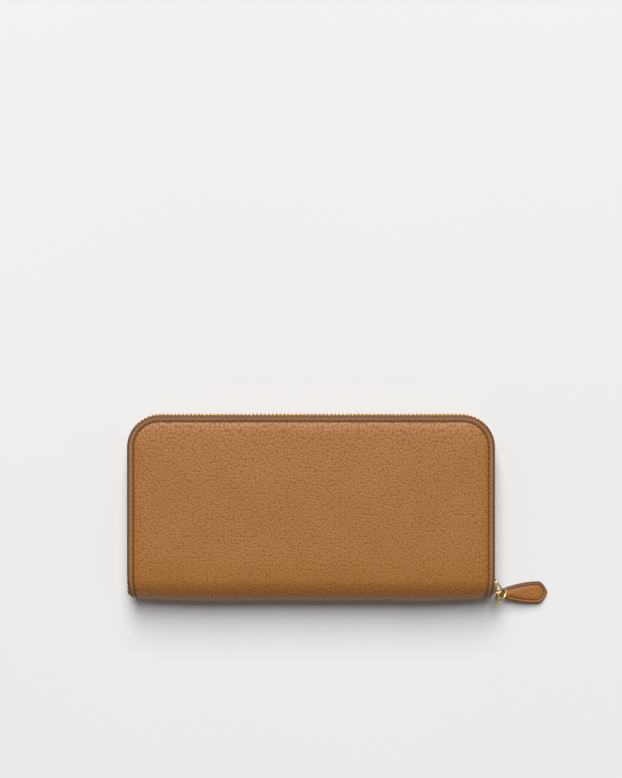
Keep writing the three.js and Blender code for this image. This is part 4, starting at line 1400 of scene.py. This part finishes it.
def gusset(label, side):
    """A gusset folded flat between cover and pocket: a zigzag across Z, wider at its open end."""
    sign = -1 if label == "left" else 1
    low, high = node_box(f"{label}_gusset_back")
    tall = high[1] - low[1]
    y = np.linspace(low[1], high[1], 34)[:, None]
    fold = np.linspace(-1, 1, 15)[None]
    depth = 2.0 + 13.0 * (y - low[1]) / tall
    x = sign * (GUSSET_EDGE - depth * (1 - np.abs(fold) ** 1.15))
    z = (low[2] + high[2]) / 2 + 0.34 * np.sign(fold) * np.abs(fold) ** 0.6
    upper = np.stack(np.broadcast_arrays(x, y, z + 0.09), -1)
    shape = mirrored(slab(upper, upper - [0, 0, 0.18]), side)
    near, far = ((0, 0, (z if side < 0 else THICK - z) * MM) for z in (low[2], high[2]))
    bodies = ("back_half", "spine", near, far) if side < 0 else ("spine", "front_half", far, near)
    name = f"{label}_gusset_{'back' if side < 0 else 'front'}"
    made = piece(f"{name}_fold", shape, GUSSET_HIDE, bodies, [name])


for label in ("left", "right"):
    for side in (-1, 1):
        gusset(label, side)

# ---------------------------------------------------------------- what stays as built: foam and board
for label in ("back", "front"):
    for kind, look in (("padding", FOAM), ("board", BOARD)):
        core = frame["nodes"][f"{label}_{kind}"]
        core.data.materials.clear()
        core.data.materials.append(look)

# ---------------------------------------------------------------- floor, light and camera
FLOOR = 3.0  # half the side of the floor, in metres


def stage_floor():
    """A square of pale paper, very slightly uneven in tone."""
    mesh = bpy.data.meshes.new("studio floor")
    corners = [(-FLOOR, -FLOOR, 0), (FLOOR, -FLOOR, 0), (FLOOR, FLOOR, 0), (-FLOOR, FLOOR, 0)]
    mesh.from_pydata(corners, [], [(0, 1, 2, 3)])
    made, tree = material("pale studio paper", roughness=0.95, specular=0.05)
    tone = mixed(tree, noise(tree, millimetres(tree), 0.004, 1.0), (0.815, 0.815, 0.815), (0.84, 0.84, 0.84))
    tree.links.new(tone, tree.nodes["Principled BSDF"].inputs["Base Color"])
    mesh.materials.append(made)
    floor = bpy.data.objects.new("studio floor", mesh)
    bpy.context.scene.collection.objects.link(floor)


stage_floor()


def soft_light(name, place, size, power):
    """An area light at place, turned towards the wallet."""
    data = bpy.data.lights.new(name, "AREA")
    data.shape = "RECTANGLE"
    data.size, data.size_y = size
    data.energy = power
    light = bpy.data.objects.new(name, data)
    light.rotation_euler = (-Vector(place)).to_track_quat("-Z", "Y").to_euler()
    light.location = place
    bpy.context.scene.collection.objects.link(light)


soft_light("large soft window", (-0.3, 5.6, 7.05), (4.4, 7.6), 1045.0)

world = bpy.data.worlds.new("studio air")
world.use_nodes = True
world.node_tree.nodes["Background"].inputs["Color"].default_value = (1.0, 1.0, 1.0, 1.0)
world.node_tree.nodes["Background"].inputs["Strength"].default_value = 0.14
bpy.context.scene.world = world
bpy.context.scene.view_settings.view_transform = "Standard"

CAMERA_HEIGHT = 0.875
PICTURE_MIDDLE_Y = 0.0641
camera_data = bpy.data.cameras.new("camera")
camera_data.sensor_width = 36.0
camera_data.sensor_fit = "AUTO"
camera_data.lens = 74.04
camera_data.clip_start, camera_data.clip_end = 0.05, 20.0
camera = bpy.data.objects.new("camera", camera_data)
camera.location = (0.0, PICTURE_MIDDLE_Y, CAMERA_HEIGHT)
bpy.context.scene.collection.objects.link(camera)
bpy.context.scene.camera = camera
